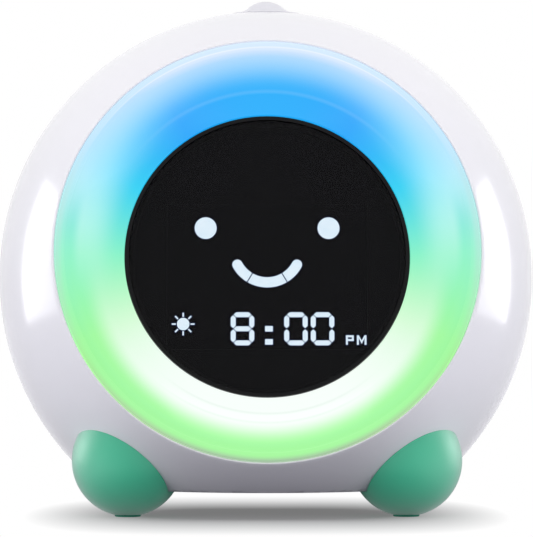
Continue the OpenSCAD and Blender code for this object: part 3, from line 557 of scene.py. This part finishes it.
# %% Helpers for profiles
def rounded(corners, steps=6):
    """A closed outline of (r, z, rounding) corners, with an arc in place of each rounded one."""
    outline, count = [], len(corners)
    for i, (r, z, rounding) in enumerate(corners):
        here = Vector((r, z))
        if rounding == 0:
            outline.append(here)
            continue
        before = (Vector(corners[i - 1][:2]) - here).normalized()
        after = (Vector(corners[(i + 1) % count][:2]) - here).normalized()
        half = before.angle(after) / 2
        centre = here + (before + after).normalized() * rounding / math.sin(half)
        start = here + before * rounding / math.tan(half) - centre
        end = here + after * rounding / math.tan(half) - centre
        sweep = start.angle_signed(end)
        for k in range(steps + 1):
            outline.append(centre + Matrix.Rotation(-sweep * k / steps, 2) @ start)
    return outline


def arc(centre, radius, from_angle, to_angle, steps):
    """(r, z, 0) points along an arc, angles in degrees from the +r direction."""
    angles = [math.radians(from_angle + (to_angle - from_angle) * k / steps)
              for k in range(steps + 1)]
    return [(centre[0] + radius * math.cos(a), centre[1] + radius * math.sin(a), 0) for a in angles]


def piece(name, mesh, finish_name, body, *stands_for):
    """An object that rides on a body, and stands for the CAD nodes that are named last."""
    mesh.name = name
    thing = placed(name, mesh)
    mesh.materials.clear()
    mesh.materials.append(finish[finish_name])
    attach(thing, body)
    if stands_for:
        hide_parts(*stands_for)
    print(name, "faces:", len(mesh.polygons))
    return thing


def smoothed(mesh, sharp=40):
    """The mesh, smooth but for edges sharper than that many degrees."""
    mesh.shade_smooth()
    mesh.set_sharp_from_angle(angle=math.radians(sharp))
    return mesh


def finished(shape, sharp=40):
    """A smoothed mesh from a bmesh, with its doubles merged and its faces outwards."""
    bmesh.ops.remove_doubles(shape, verts=shape.verts, dist=1e-7)
    bmesh.ops.recalc_face_normals(shape, faces=shape.faces)
    mesh = bpy.data.meshes.new("made")
    shape.to_mesh(mesh)
    shape.free()
    return smoothed(mesh, sharp)


def full_turn(steps):
    """That many angles, evenly round a full turn."""
    return [math.tau * k / steps for k in range(steps)]


def round_pairs(count):
    """Each number below count with the next one, and the last with 0."""
    return [(k, (k + 1) % count) for k in range(count)]


def skinned(shape, rings):
    """Joins rings of vertices into a closed skin; a ring may be one vertex, repeated."""
    for a, b in zip(rings, rings[1:] + rings[:1]):
        for k, m in round_pairs(len(a)):
            corners = list(dict.fromkeys((a[k], a[m], b[m], b[k])))
            if len(corners) > 2:
                shape.faces.new(corners)


def spun(outline, place, steps):
    """Spins a closed outline of (r, z) points round Z and moves it with place."""
    shape, rings = bmesh.new(), []
    for r, z in outline:
        if r < 1e-6:
            rings.append([shape.verts.new((0, 0, z))] * steps)
        else:
            rings.append([shape.verts.new((r * math.cos(a), r * math.sin(a), z))
                          for a in full_turn(steps)])
    skinned(shape, rings)
    shape.transform(place)
    return finished(shape)


# %% [markdown]
# ### The diffuser dish
# A bowl with a flat lip, a collar round the display and a flange behind. The edges of the lip
# catch a bright line, so they get the largest rounding. Above, that line is also painted into the
# dish's finish as a painted highlight.

# %% Diffuser
bowl_centre, bowl_r, bowl_wall = (32.067, 67.359), 30.0, 2.0
bowl_low = math.degrees(math.atan2(38.15 - bowl_centre[1], 38.9 - bowl_centre[0]))
bowl_high = math.degrees(math.atan2(47.9 - bowl_centre[1], 54.9 - bowl_centre[0]))
bowl = arc(bowl_centre, bowl_r, bowl_low, bowl_high, 40)
under = []
for r in (55.3, 53.0, 50.0, 47.0, 44.0, 40.7):
    drop = math.sqrt((bowl_r + bowl_wall) ** 2 - (r - bowl_centre[0]) ** 2)
    under.append((r, round(bowl_centre[1] - drop, 4), 0))
outline = rounded([(38.9, 35.35, 0.2), (38.9, 38.15, 0.35)] + bowl[1:-1]
                  + [(54.9, 47.9, 0.45), (57.3, 47.9, 0.45), (57.3, 40.0, 0), (60.2, 40.0, 0.2),
                     (60.2, 38.0, 0.2), (55.3, 38.0, 0)] + under + [(40.7, 35.35, 0.2)])
piece("glow_dish", spun(outline, FACE, 256), "milky", "clock_body", "diffuser_ring")

# %% [markdown]
# ### The front shell
# The front of the body is part of a ball that is open at the tilted face, runs into a short
# barrel and stops at the seam with the back half. One grid of rows makes it: up the wall of the
# mouth, over the rounded lip, along the ball to the seam, and back on the inside. The inner rows
# stop at the belly's inner floor, and the outer ones are sliced flat under it. Last, the bore of
# the top button is cut.

# %% Rows of the front shell
mouth_r, lip_rounding, seat_z, wall = 57.5, 0.3, 40.0, 2.4
face_turn = Matrix.Rotation(face_lean, 3, "X")
around, along = 288, 44
turns = full_turn(around)


def face_row(r, z):
    return [face_turn @ Vector((r * math.cos(t), r * math.sin(t), z)) for t in turns]


def ball_row(r, start, share):
    """A row on the ball: share 0 at the polar angle start, share 1 in the plane of its middle."""
    row, axis = [], face_turn @ Vector((0, 0, 1))
    for t in turns:
        out = face_turn @ Vector((math.cos(t), math.sin(t), 0))
        a = start + (math.atan2(-axis.y, out.y) - start) * share
        row.append(r * (math.sin(a) * out + math.cos(a) * axis))
    return row


def seam_row(rim, y, inset):
    """A row round the barrel or the corner behind it, at y and drawn in by inset."""
    r = body_r - inset if y <= barrel else (
        body_r - corner_r + math.sqrt((corner_r - inset) ** 2 - (y - barrel) ** 2))
    return [Vector((p.x, 0, p.z)).normalized() * r + Vector((0, y, 0)) for p in rim]


lip_r = mouth_r + lip_rounding
lip_z = math.sqrt((body_r - lip_rounding) ** 2 - lip_r ** 2)
lip_end = math.atan2(lip_z, lip_r)
rows = [face_row(mouth_r, z) for z in (seat_z, 43.0, lip_z - 1.0)]
for step in range(7):
    a = math.pi + (lip_end - math.pi) * step / 6
    rows.append(face_row(lip_r + lip_rounding * math.cos(a), lip_z + lip_rounding * math.sin(a)))
rows += [ball_row(body_r, math.pi / 2 - lip_end, step / along) for step in range(1, along + 1)]
rim = rows[-1]
rows += [seam_row(rim, y, 0) for y in (2.0, 4.0, barrel, 8.0, 10.0, 12.0, split_y - 0.35)]
rows += [seam_row(rim, split_y - 0.1, 0.1), seam_row(rim, split_y, 0.35)]
inside = [seam_row(rim, y, wall) for y in (split_y, 10.0, barrel)]
inside += [ball_row(body_r - wall, math.acos(seat_z / (body_r - wall)), 1 - step / 12)
           for step in range(13)]
for row in inside:
    for p in row:
        p.z = max(p.z, wall - belly)
rows += inside
print("rows of the shell:", len(rows), "with", around, "points each")

# %% Skin, belly and bore
shape = bmesh.new()
skinned(shape, [[shape.verts.new(p) for p in row] for row in rows])
bmesh.ops.bisect_plane(shape, geom=shape.verts[:] + shape.edges[:] + shape.faces[:], dist=1e-4,
                       plane_co=(0, 0, -belly), plane_no=(0, 0, -1), clear_outer=True)
bmesh.ops.holes_fill(shape, edges=[e for e in shape.edges if e.is_boundary], sides=0)
print("open edges of the front shell:", sum(e.is_boundary for e in shape.edges))
shape.transform(BODY)
shell = placed("shell_draft", finished(shape))
bore_r = 9.8
bore = rounded([(0, 60, 0), (bore_r, 60, 0), (bore_r, 80, 0), (0, 80, 0)])
cutter = placed("bore_cutter", spun(bore, BODY, 128))
cut = shell.modifiers.new("bore", "BOOLEAN")
cut.operation, cut.solver, cut.object = "DIFFERENCE", "EXACT", cutter


# %% Helper: freeze modifiers
def frozen(thing):
    """The mesh that thing has with its modifiers done; thing itself is removed."""
    graph = bpy.context.evaluated_depsgraph_get()
    mesh = bpy.data.meshes.new_from_object(thing.evaluated_get(graph))
    bpy.data.objects.remove(thing)
    return smoothed(mesh)


mesh = frozen(shell)
bpy.data.objects.remove(cutter)
piece("front_shell", mesh, "shell", "clock_body", "front_housing")

# %% [markdown]
# ## Geometry Nodes for what repeats
# Screws, lamps, pads and springs are one shape in many places. Each gets a tree of geometry nodes
# with its sizes as named inputs, so that one tree serves screws of every length. A place is a
# loose vertex that carries its turn as an attribute. The tree puts an instance on each, makes the
# instances real and dresses them. Last, the result is frozen to a plain mesh.


# %% Helpers for geometry trees
def geometry_tree(name, **inputs):
    return new_group("GeometryNodeTree", name,
                     {"Geometry": "Geometry", **spaced(inputs), "Material": "Material"},
                     {"Geometry": "Geometry"})


def then(shape, kind, **inputs):
    """What a geometry node of a kind makes of shape."""
    return add(shape.id_data, "GeometryNode" + kind,
               {"Geometry": shape, **spaced(inputs)}).outputs[0]


def set_out(given, shape, spin=None):
    """Ends a tree: puts shape on every place, makes the copies real and dresses them."""
    tree = shape.id_data
    turn = add(tree, "GeometryNodeInputNamedAttribute", {"Name": "turn"}, data_type="FLOAT_VECTOR")
    rotation = add(tree, "FunctionNodeEulerToRotation", {0: turn.outputs["Attribute"]}).outputs[0]
    if spin is not None:
        own = add(tree, "FunctionNodeEulerToRotation", {0: vector(z=spin)}).outputs[0]
        rotation = add(tree, "FunctionNodeRotateRotation", {0: rotation, 1: own},
                       rotation_space="LOCAL").outputs[0]
    copies = add(tree, "GeometryNodeInstanceOnPoints",
                 {"Points": given["Geometry"], "Instance": shape, "Rotation": rotation})
    real = then(copies.outputs[0], "RealizeInstances")
    dressed = then(real, "SetMaterial", Material=given["Material"])
    add(tree, "NodeGroupOutput", {"Geometry": dressed})
    print("nodes in the tree", tree.name + ":", len(tree.nodes))


def grown(name, tree, places, finish_name, body, *stands_for, **sizes):
    """The piece that a tree makes on places, which are matrices in the body's frame."""
    start = bpy.data.meshes.new("places")
    start.from_pydata([m.translation for m in places], [], [])
    turns_there = start.attributes.new("turn", "FLOAT_VECTOR", "POINT")
    for value, m in zip(turns_there.data, places):
        value.vector = m.to_euler()
    thing = placed("draft", start)
    modifier = thing.modifiers.new("grow", "NODES")
    modifier.node_group = tree
    sockets = {item.name: item.identifier for item in tree.interface.items_tree
               if item.in_out == "INPUT"}
    modifier[sockets["Material"]] = finish[finish_name]
    for label, value in spaced(sizes).items():
        modifier[sockets[label]] = value
    mesh = frozen(thing)
    mesh.transform(BODY)
    return piece(name, mesh, finish_name, body, *stands_for)


# %% Helpers that read a CAD node
def cad_shape(node):
    """A bmesh of a CAD node, with its doubles merged."""
    shape = bmesh.new()
    shape.from_mesh(nodes[node].data)
    bmesh.ops.remove_doubles(shape, verts=shape.verts, dist=1e-6)
    return shape


def islands(node):
    """The loose solids of a CAD node, each as its points in the body's frame, in millimetres."""
    shape, to_body = cad_shape(node), BODY.inverted()
    found, seen = [], set()
    for first in shape.verts:
        if first in seen:
            continue
        group, edge = [], [first]
        seen.add(first)
        while edge:
            v = edge.pop()
            group.append(to_body @ v.co)
            for e in v.link_edges:
                other = e.other_vert(v)
                if other not in seen:
                    seen.add(other)
                    edge.append(other)
        found.append(group)
    shape.free()
    return found


def centre_of(points):
    return sum(points, Vector()) / len(points)


def measured(points, middle, axis):
    """How far each point lies from middle along axis, and how far off it."""
    heights = [(p - middle).dot(axis) for p in points]
    return heights, [((p - middle) - axis * h).length for p, h in zip(points, heights)]


def place_along(spot, way):
    """A place at spot, with Z pointing that way."""
    return Matrix.Translation(spot) @ way.to_track_quat("Z", "Y").to_matrix().to_4x4()


print("lamps on the ring's board:", len(islands("ring_leds")))

# %% [markdown]
# ### Screws
# Every screw is a pan head with a cross recess, a shank and a fine helical thread. The skin is a
# grid whose columns go round and whose rows follow the outline: two float curves shape the head,
# two the shank, and the thread is a zigzag that runs on with height and turn. The recess is cut
# by two crossed bars. Each CAD screw says where its own stands, how long it is and which way it
# looks, and a random spin keeps the recesses from lining up.


# %% Helpers: a grid wrapped into a turned skin
def shaped(value, points):
    """value through a curve of straight stretches between points."""
    node = add(value.id_data, "ShaderNodeFloatCurve", {"Value": value})
    curve = node.mapping.curves[0]
    for stop in points[1:-1]:
        curve.points.new(*stop)
    for knot, stop in zip(curve.points, points):
        knot.location, knot.handle_type = stop, "VECTOR"
    node.mapping.update()
    return node.outputs[0]


def flat_grid(tree, columns, rows):
    """A grid, and how far round and how far along the outline each of its points goes."""
    grid = add(tree, "GeometryNodeMeshGrid", {
        "Size X": 1.0, "Size Y": 1.0, "Vertices X": columns, "Vertices Y": rows})
    xyz = parted(add(tree, "GeometryNodeInputPosition").outputs[0])
    return grid.outputs["Mesh"], sums("ADD", xyz["X"], 0.5), sums("ADD", xyz["Y"], 0.5)


def wrapped(grid, angle, r, z):
    """The grid laid round Z, with its seam and its poles closed."""
    spot = vector(times(r, sums("COSINE", angle)), times(r, sums("SINE", angle)), z)
    return then(then(grid, "SetPosition", Position=spot), "MergeByDistance", Distance=0.001)


# %% Tree: cross-head screw
tree, given = geometry_tree("cross_head_screw", Head_radius=2.1, Head_height=1.5,
                            Shank_radius=0.9, Shank_length=8.0, Thread_pitch=0.8, Seed=3)
grid, turn, along_skin = flat_grid(tree, 25, 101)
head_r = shaped(along_skin, [(0.0, 0.0), (0.08, 0.62), (0.14, 0.88), (0.19, 1.0),
                             (0.24, 1.0), (0.28, 0.0), (1.0, 0.0)])
shank_r = shaped(along_skin, [(0.0, 0.0), (0.24, 0.0), (0.28, 1.0), (0.94, 1.0), (1.0, 0.0)])
head_z = shaped(along_skin, [(0.0, 1.0), (0.08, 0.97), (0.14, 0.80), (0.19, 0.45),
                             (0.24, 0.0), (1.0, 0.0)])
shank_z = shaped(along_skin, [(0.0, 0.0), (0.28, 0.0), (0.94, 0.93), (1.0, 1.0)])
z = sums("SUBTRACT", times(shank_z, given["Shank length"]), times(head_z, given["Head height"]))
threads = sums("DIVIDE", z, given["Thread pitch"])
wave = sums("PINGPONG", sums("ADD", threads, turn), 0.5)
on_shank = times(step_between(along_skin, 0.30, 0.36), step_between(along_skin, 0.95, 0.90))
bite = times(times(wave, on_shank), -0.44)
threaded_r = times(given["Shank radius"], sums("ADD", 1.0, bite))
r = sums("ADD", times(head_r, given["Head radius"]), times(shank_r, threaded_r))
skin_of_screw = wrapped(grid, times(turn, -math.tau), r, z)

recess = add(tree, "GeometryNodeMeshBoolean", {"Mesh 1": skin_of_screw}, operation="DIFFERENCE",
             solver="EXACT")
long, thin, deep = (times(given[name], share) for name, share in (
    ("Head radius", 1.15), ("Head radius", 0.3), ("Head height", 1.1)))
to_head = vector(z=times(given["Head height"], -1.0))
for size in ((long, thin, deep), (thin, long, deep)):
    bar = add(tree, "GeometryNodeMeshCube", {"Size": vector(*size)}).outputs["Mesh"]
    tree.links.new(then(bar, "Transform", Translation=to_head), recess.inputs["Mesh 2"])
spin = add(tree, "FunctionNodeRandomValue", {"Max": 6.283, "Seed": given["Seed"]},
           data_type="FLOAT").outputs[1]
set_out(given, recess.outputs["Mesh"], spin)


# %% Screws, set where the CAD has them
def screw_places(node, axis):
    """Places and sizes of the screws of a CAD node, whose shanks lie along axis."""
    places = []
    for points in islands(node):
        middle = centre_of(points)
        heights, widths = measured(points, middle, axis)
        wide = [h for h, w in zip(heights, widths) if w > 0.9 * max(widths)]
        way = 1 if max(heights) - max(wide) > min(wide) - min(heights) else -1
        seat, tip = (max(wide), max(heights)) if way > 0 else (min(wide), min(heights))
        places.append(place_along(middle + axis * seat, axis * way))
        sizes = {"Head_radius": max(widths), "Head_height": max(wide) - min(wide),
                 "Shank_radius": min(w for h, w in zip(heights, widths) if abs(h - tip) < 0.01),
                 "Shank_length": abs(tip - seat)}
    return places, sizes


back_axis, up_axis = Vector((0, 1, 0)), Vector((0, 0, 1))
face_axis = (face_turn @ Vector((0, 0, 1))).normalized()
for node, axis in (("housing_screws", back_axis), ("door_screw", back_axis),
                   ("button_board_screws", back_axis), ("power_board_screws", up_axis),
                   ("bracket_screws", up_axis), ("foot_screws", up_axis),
                   ("pan_screws", face_axis), ("bezel_screws", face_axis),
                   ("board_screws", face_axis)):
    places, sizes = screw_places(node, axis)
    print(node, len(places), {k: round(v, 2) for k, v in sizes.items()})
    body = "door" if node == "door_screw" else "clock_body"
    grown("cross_" + node, tree, places, "screw_steel", body, node, **sizes)

# %% [markdown]
# ### Lamps of the ring
# The dish is lit by a ring of small lamps on a round board. Each is a flat pale case with tapered
# sides and a shallow dome on it.

# %% Tree: ring of lamps
tree, given = geometry_tree("lamp_case", Side=5.0, Height=1.6)
side, tall = given["Side"], given["Height"]
size = vector(side, side, times(tall, 0.75))
case = add(tree, "GeometryNodeMeshCube", {"Size": size}).outputs["Mesh"]
spot = add(tree, "GeometryNodeInputPosition").outputs[0]
upper_half = sums("GREATER_THAN", parted(spot)["Z"], 0.0)
narrow = sums("SUBTRACT", 1.0, times(upper_half, 0.08))
taper = add(tree, "ShaderNodeVectorMath", {0: spot, 1: vector(narrow, narrow, 1.0)},
            operation="MULTIPLY").outputs["Vector"]
case = then(then(case, "SetPosition", Position=taper), "Transform",
            Translation=vector(z=times(tall, 0.375)))
ball = add(tree, "GeometryNodeMeshUVSphere", {"Segments": 20, "Rings": 10, "Radius": 1.0})
dome_r = times(side, 0.36)
dome = then(ball.outputs["Mesh"], "Transform", Scale=vector(dome_r, dome_r, times(tall, 0.24)),
            Translation=vector(z=times(tall, 0.75)))
both = add(tree, "GeometryNodeJoinGeometry")
for shape in (case, dome):
    tree.links.new(shape, both.inputs[0])
set_out(given, both.outputs[0])

places = []
face_only = face_turn.to_4x4()
to_face = face_only.inverted()
for points in islands("ring_leds"):
    on_face = to_face @ centre_of(points)
    heights = [(to_face @ p).z for p in points]
    low, high = min(heights), max(heights)
    places.append(face_only @ Matrix.Translation((on_face.x, on_face.y, low))
                  @ Matrix.Rotation(math.atan2(on_face.y, on_face.x), 4, "Z"))
grown("ring_lamps", tree, places, "lamp", "clock_body", "ring_leds", Height=high - low)

# %% [markdown]
# ### Coil spring
# The top button is pushed back up by a coil of steel wire. A spiral curve gives the coil, and a
# small round profile is swept along it.

# %% Tree: coil spring
tree, given = geometry_tree("coil_spring", Radius=5.1, Wire=0.36, Height=16.0, Coils=8.5)
coil = add(tree, "GeometryNodeCurveSpiral", {
    "Resolution": 28, "Rotations": given["Coils"], "Start Radius": given["Radius"],
    "End Radius": given["Radius"], "Height": given["Height"]}).outputs[0]
wire = add(tree, "GeometryNodeCurvePrimitiveCircle", {"Resolution": 10, "Radius": given["Wire"]})
swept = add(tree, "GeometryNodeCurveToMesh", {"Curve": coil, "Profile Curve": wire.outputs[0],
                                              "Fill Caps": True}).outputs[0]
set_out(given, swept)
low, high = (BODY.inverted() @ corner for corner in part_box("top_button_spring"))
spring_h, press, end_gap = high.z - low.z, 1.2, 0.4
spring = grown("coil_spring", tree, [Matrix.Translation((0, 0, low.z + end_gap))],
               "contact_metal", "clock_body", "top_button_spring", Height=spring_h - 2 * end_gap)
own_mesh(spring)

# %% [markdown]
# ### Pads under the feet
# Each foot stands on a soft round pad with two grooves pressed into its underside. The skin is a
# wrapped grid like a screw's, with one float curve for its radius and one for its height.

# %% Tree: pads
tree, given = geometry_tree("foot_pad", Radius=3.6, Height=1.2)
grid, turn, along_skin = flat_grid(tree, 49, 51)
r = times(given["Radius"], shaped(along_skin, [
    (0.0, 0.0), (0.10, 0.30), (0.14, 0.36), (0.20, 0.42), (0.24, 0.48), (0.32, 0.62), (0.36, 0.68),
    (0.42, 0.74), (0.46, 0.80), (0.54, 0.92), (0.60, 0.98), (0.66, 1.0), (0.80, 1.0), (1.0, 0.0)]))
z = times(given["Height"], shaped(along_skin, [
    (0.0, 0.0), (0.10, 0.0), (0.14, 0.22), (0.20, 0.22), (0.24, 0.0), (0.32, 0.0), (0.36, 0.22),
    (0.42, 0.22), (0.46, 0.0), (0.54, 0.0), (0.60, 0.06), (0.66, 0.22), (0.80, 1.0), (1.0, 1.0)]))
set_out(given, wrapped(grid, times(turn, math.tau), r, z))
places = []
for points in islands("foot_pads"):
    middle = centre_of(points)
    places.append(Matrix.Translation((middle.x, middle.y, min(p.z for p in points))))
grown("ringed_pads", tree, places, "pad_rubber", "clock_body", "foot_pads")

# %% [markdown]
# ### Cells of the battery
# A cell's sleeve and its can are each spun from an outline once. The tree below only carries the
# finished shape to its places.

# %% Tree: a shape in many places
copy_tree, given = geometry_tree("set_out_shape", Shape="Object")
fetched = add(copy_tree, "GeometryNodeObjectInfo", {"Object": given["Shape"]},
              transform_space="ORIGINAL")
set_out(given, fetched.outputs["Geometry"])


def copies(name, outline, places, finish_name, *stands_for):
    """The piece that is an outline in millimetres, spun once and set out on places."""
    pattern = placed("pattern", spun(outline, Matrix(), 64))
    grown(name, copy_tree, places, finish_name, "clock_body", *stands_for, Shape=pattern)
    bpy.data.objects.remove(pattern)


# %% Battery cells
def axis_place(points, axis):
    """A place in the middle of an island, with Z along axis towards its narrower end."""
    middle = (Vector(map(min, *points)) + Vector(map(max, *points))) / 2
    heights, widths = measured(points, middle, axis)
    ends = [max(w for h, w in zip(heights, widths) if abs(h - limit) < 0.01)
            for limit in (min(heights), max(heights))]
    return place_along(middle, axis if ends[1] < ends[0] else -axis)


places = [axis_place(points, Vector((1, 0, 0))) for points in islands("battery_cells")]
cell_r, cell_half = 5.25, 22.25
sleeve = rounded([(4.3, -cell_half + 0.1, 0.05), (cell_r, -cell_half + 0.1, 0.5),
                  (cell_r, cell_half - 1.1, 0.5), (4.5, cell_half - 1.1, 0.05),
                  (4.5, cell_half - 2.0, 0), (4.3, -cell_half + 1.0, 0)])
copies("cell_sleeves", sleeve, places, "cell_sleeve", "battery_cells")
can = rounded([(0, -cell_half, 0), (4.0, -cell_half, 0.3), (4.25, -cell_half + 0.9, 0),
               (4.2, 0, 0), (4.2, cell_half - 1.2, 0.2), (2.1, cell_half - 1.2, 0.15),
               (1.9, cell_half - 0.9, 0), (1.9, cell_half, 0.35), (0, cell_half, 0)])
copies("cell_cans", can, places, "contact_metal")

# %% [markdown]
# ### Grip ribs of the battery door
# A thumb pushes the door, so a few low ribs cross it near its upper edge. Each rib is a long
# flattened ball that is sunk halfway, which gives it soft ends.

# %% Tree: ribs
tree, given = geometry_tree("grip_rib", Length=16.0, Width=0.9, Rise=0.38)
ball = add(tree, "GeometryNodeMeshUVSphere", {"Segments": 32, "Rings": 12, "Radius": 1.0})
size = vector(times(given["Length"], 0.5), times(given["Width"], 0.5), given["Rise"])
set_out(given, then(ball.outputs["Mesh"], "Transform", Scale=size))
flat_back, first_rib, rib_pitch = barrel + corner_r, -3.5, 2.0
facing_back = Matrix.Rotation(math.radians(-90), 4, "X")
places = [Matrix.Translation((0, flat_back, first_rib - rib_pitch * k)) @ facing_back
          for k in range(6)]
grown("door_ribs", tree, places, "shell", "door")

# %% [markdown]
# ### Buttons at the back
# Six small caps stand out of the back. A fingertip finds each by its soft rim and its hollow top,
# which a plain disc lacks. Each cap moves on its own, so each is a piece of its own.

# %% Rear button caps
def back_at(distance, inset=0.0):
    """How far back the body's surface lies at a distance from the middle of the back."""
    past = distance - (body_r - corner_r)
    if past <= 0:
        return flat_back - inset
    return barrel + math.sqrt((corner_r - inset) ** 2 - past ** 2)


button_r, button_proud, column, pitch, middle_row = 3.6, 1.2, 28.0, 13.0, 24.0
stem_end, stem_hollow, flange_r = 36.83, 37.8, 4.2
button_nodes = ("light", "brightness", "sound", "volume_down", "volume_up", "alarm")
for index, name in enumerate(button_nodes):
    x, z = column * (-1 if index < 3 else 1), middle_row + (index % 3 - 1) * pitch
    reach = math.hypot(x, z)
    top, flange = back_at(reach) + button_proud, back_at(reach + flange_r, wall) - 0.3
    hollow = [(r, top - 0.35 + 0.35 * (r / 2.9) ** 2, 0) for r in (2.4, 1.8, 1.2, 0.6, 0.0)]
    outline = rounded([(0, stem_hollow, 0), (1.3, stem_hollow, 0), (1.3, stem_end, 0),
                       (1.9, stem_end, 0.1), (1.9, flange - 1.2, 0), (flange_r, flange - 1.2, 0.15),
                       (flange_r, flange, 0.15), (button_r, flange, 0), (button_r, top, 0.45),
                       (2.9, top, 0.3)] + hollow)
    place = BODY @ Matrix.Translation((x, 0, z)) @ facing_back
    piece(name + "_cap", spun(outline, place, 64), "button_plastic", name, name + "_button")

# %% [markdown]
# ### Marks beside the buttons
# Plain printed signs say what a button does: a lamp, a sun, a note, less, more and a bell. They
# are thin films that lie on the curved back, so each point is carried back to the surface.

# %% Printed marks
def disc_of(x, z, r):
    return [(x + r * math.cos(a), z + r * math.sin(a)) for a in full_turn(28)]


def bar_of(x, z, w, h, turn=0.0):
    c, d = math.cos(turn), math.sin(turn)
    return [(x + c * u - d * v, z + d * u + c * v)
            for u, v in ((-w / 2, -h / 2), (w / 2, -h / 2), (w / 2, h / 2), (-w / 2, h / 2))]


rays = [bar_of(1.75 * math.cos(a), 1.75 * math.sin(a), 0.75, 0.32, a) for a in full_turn(8)]
bell = [(-1.5, -0.9), (1.5, -0.9), (1.5, -0.6), (1.1, -0.3), (1.0, 0.6), (0.7, 1.2), (0.25, 1.45),
        (-0.25, 1.45), (-0.7, 1.2), (-1.0, 0.6), (-1.1, -0.3), (-1.5, -0.6)]
signs = {
    "light": [disc_of(0, 0.4, 1.15), bar_of(0, -1.05, 1.1, 0.3), bar_of(0, -1.5, 0.8, 0.3)],
    "brightness": [disc_of(0, 0, 1.0)] + rays,
    "sound": [disc_of(-0.5, -1.0, 0.65), bar_of(0.05, 0.15, 0.28, 2.5),
              bar_of(0.55, 1.2, 1.2, 0.4, -0.4)],
    "volume_down": [bar_of(0, 0, 2.4, 0.45)],
    "volume_up": [bar_of(0, 0, 2.4, 0.45), bar_of(0, 0.72, 0.45, 0.96),
                  bar_of(0, -0.72, 0.45, 0.96)],
    "alarm": [bell, disc_of(0, -1.25, 0.35)],
}
mark_column, film_under, film_over = 21.0, -0.05, 0.04
film = bmesh.new()
for index, name in enumerate(button_nodes):
    x, z = mark_column * (-1 if index < 3 else 1), middle_row + (index % 3 - 1) * pitch
    for polygon in signs[name]:
        low, high = [[film.verts.new((x - u, back_at(math.hypot(x - u, z + v)) + lift, z + v))
                      for u, v in polygon] for lift in (film_under, film_over)]
        film.faces.new(low)
        film.faces.new(high[::-1])
        for k, m in round_pairs(len(polygon)):
            film.faces.new((low[k], high[k], high[m], low[m]))
bmesh.ops.triangulate(film, faces=film.faces)
film.transform(BODY)
piece("button_marks", finished(film, 30), "printed_mark", "clock_body")

# %% [markdown]
# ### The top button
# The milky bell on the head is one turned cap: a round top that flares out to a thin rim, a skirt
# that runs in the bore, a flange that stops it from coming out, and a stem that reaches down to
# the switch. Two arcs draw the bell, and they meet where their slopes are the same.

# %% Top button
cap_r, crown_base, cap_top, brim = 9.5, 74.6, 78.0, 0.3
bell_h = cap_top - crown_base
arcs_r = ((cap_r - brim) ** 2 + bell_h ** 2) / (2 * bell_h)
knob_r, flank_r = 0.53 * arcs_r, 0.47 * arcs_r
meet_r = (cap_r - brim) * 0.53
flank = [(r, crown_base + flank_r - math.sqrt(flank_r ** 2 - (cap_r - brim - r) ** 2), 0)
         for r in [cap_r - brim - (cap_r - brim - meet_r) * k / 12 for k in range(13)]]
knob = [(r, cap_top - knob_r + math.sqrt(knob_r ** 2 - r ** 2), 0)
        for r in [meet_r * (1 - k / 14) for k in range(1, 15)]]
outline = rounded([(0, 61.9, 0), (1.3, 61.9, 0), (1.3, 60.0, 0), (3.0, 60.0, 0.2), (3.0, 72.0, 0.5),
                   (7.7, 72.0, 0.5), (7.7, 64.3, 0), (11.1, 64.3, 0.2), (11.1, 65.7, 0.2),
                   (cap_r, 65.7, 0), (cap_r, crown_base, 0.12)] + flank + knob)
piece("milky_bell", spun(outline, BODY, 128), "milky_button", "snooze", "top_button")

# %% [markdown]
# ### Outlines of the lit segments
# Each lit segment of the display has a thin dark blue edge, where its light fades. A copy of the
# segments, grown a little sideways and set just behind them, shows as that edge.

# %% Segment outlines
def outline_of(node, grow):
    shape = cad_shape(node)
    shape.transform(FACE.inverted())
    shape.normal_update()
    top = max(v.co.z for v in shape.verts)
    moves = {}
    for v in shape.verts:
        sides = [f.normal for f in v.link_faces if abs(f.normal.z) < 0.5]
        push = sum((Vector((n.x, n.y, 0)).normalized() for n in sides), Vector()) / len(sides)
        moves[v] = push / max(push.length_squared, 0.3) * grow
    for v, move in moves.items():
        v.co += move
        v.co.z = top - 0.05 if v.co.z > top - 0.05 else v.co.z - 0.02
    shape.transform(FACE)
    return finished(shape, 30)


for node, name in (("lcd_face_segments", "face_outline"), ("lcd_time_segments", "time_outline")):
    piece(name, outline_of(node, 0.16), "segment_edge", "clock_body")
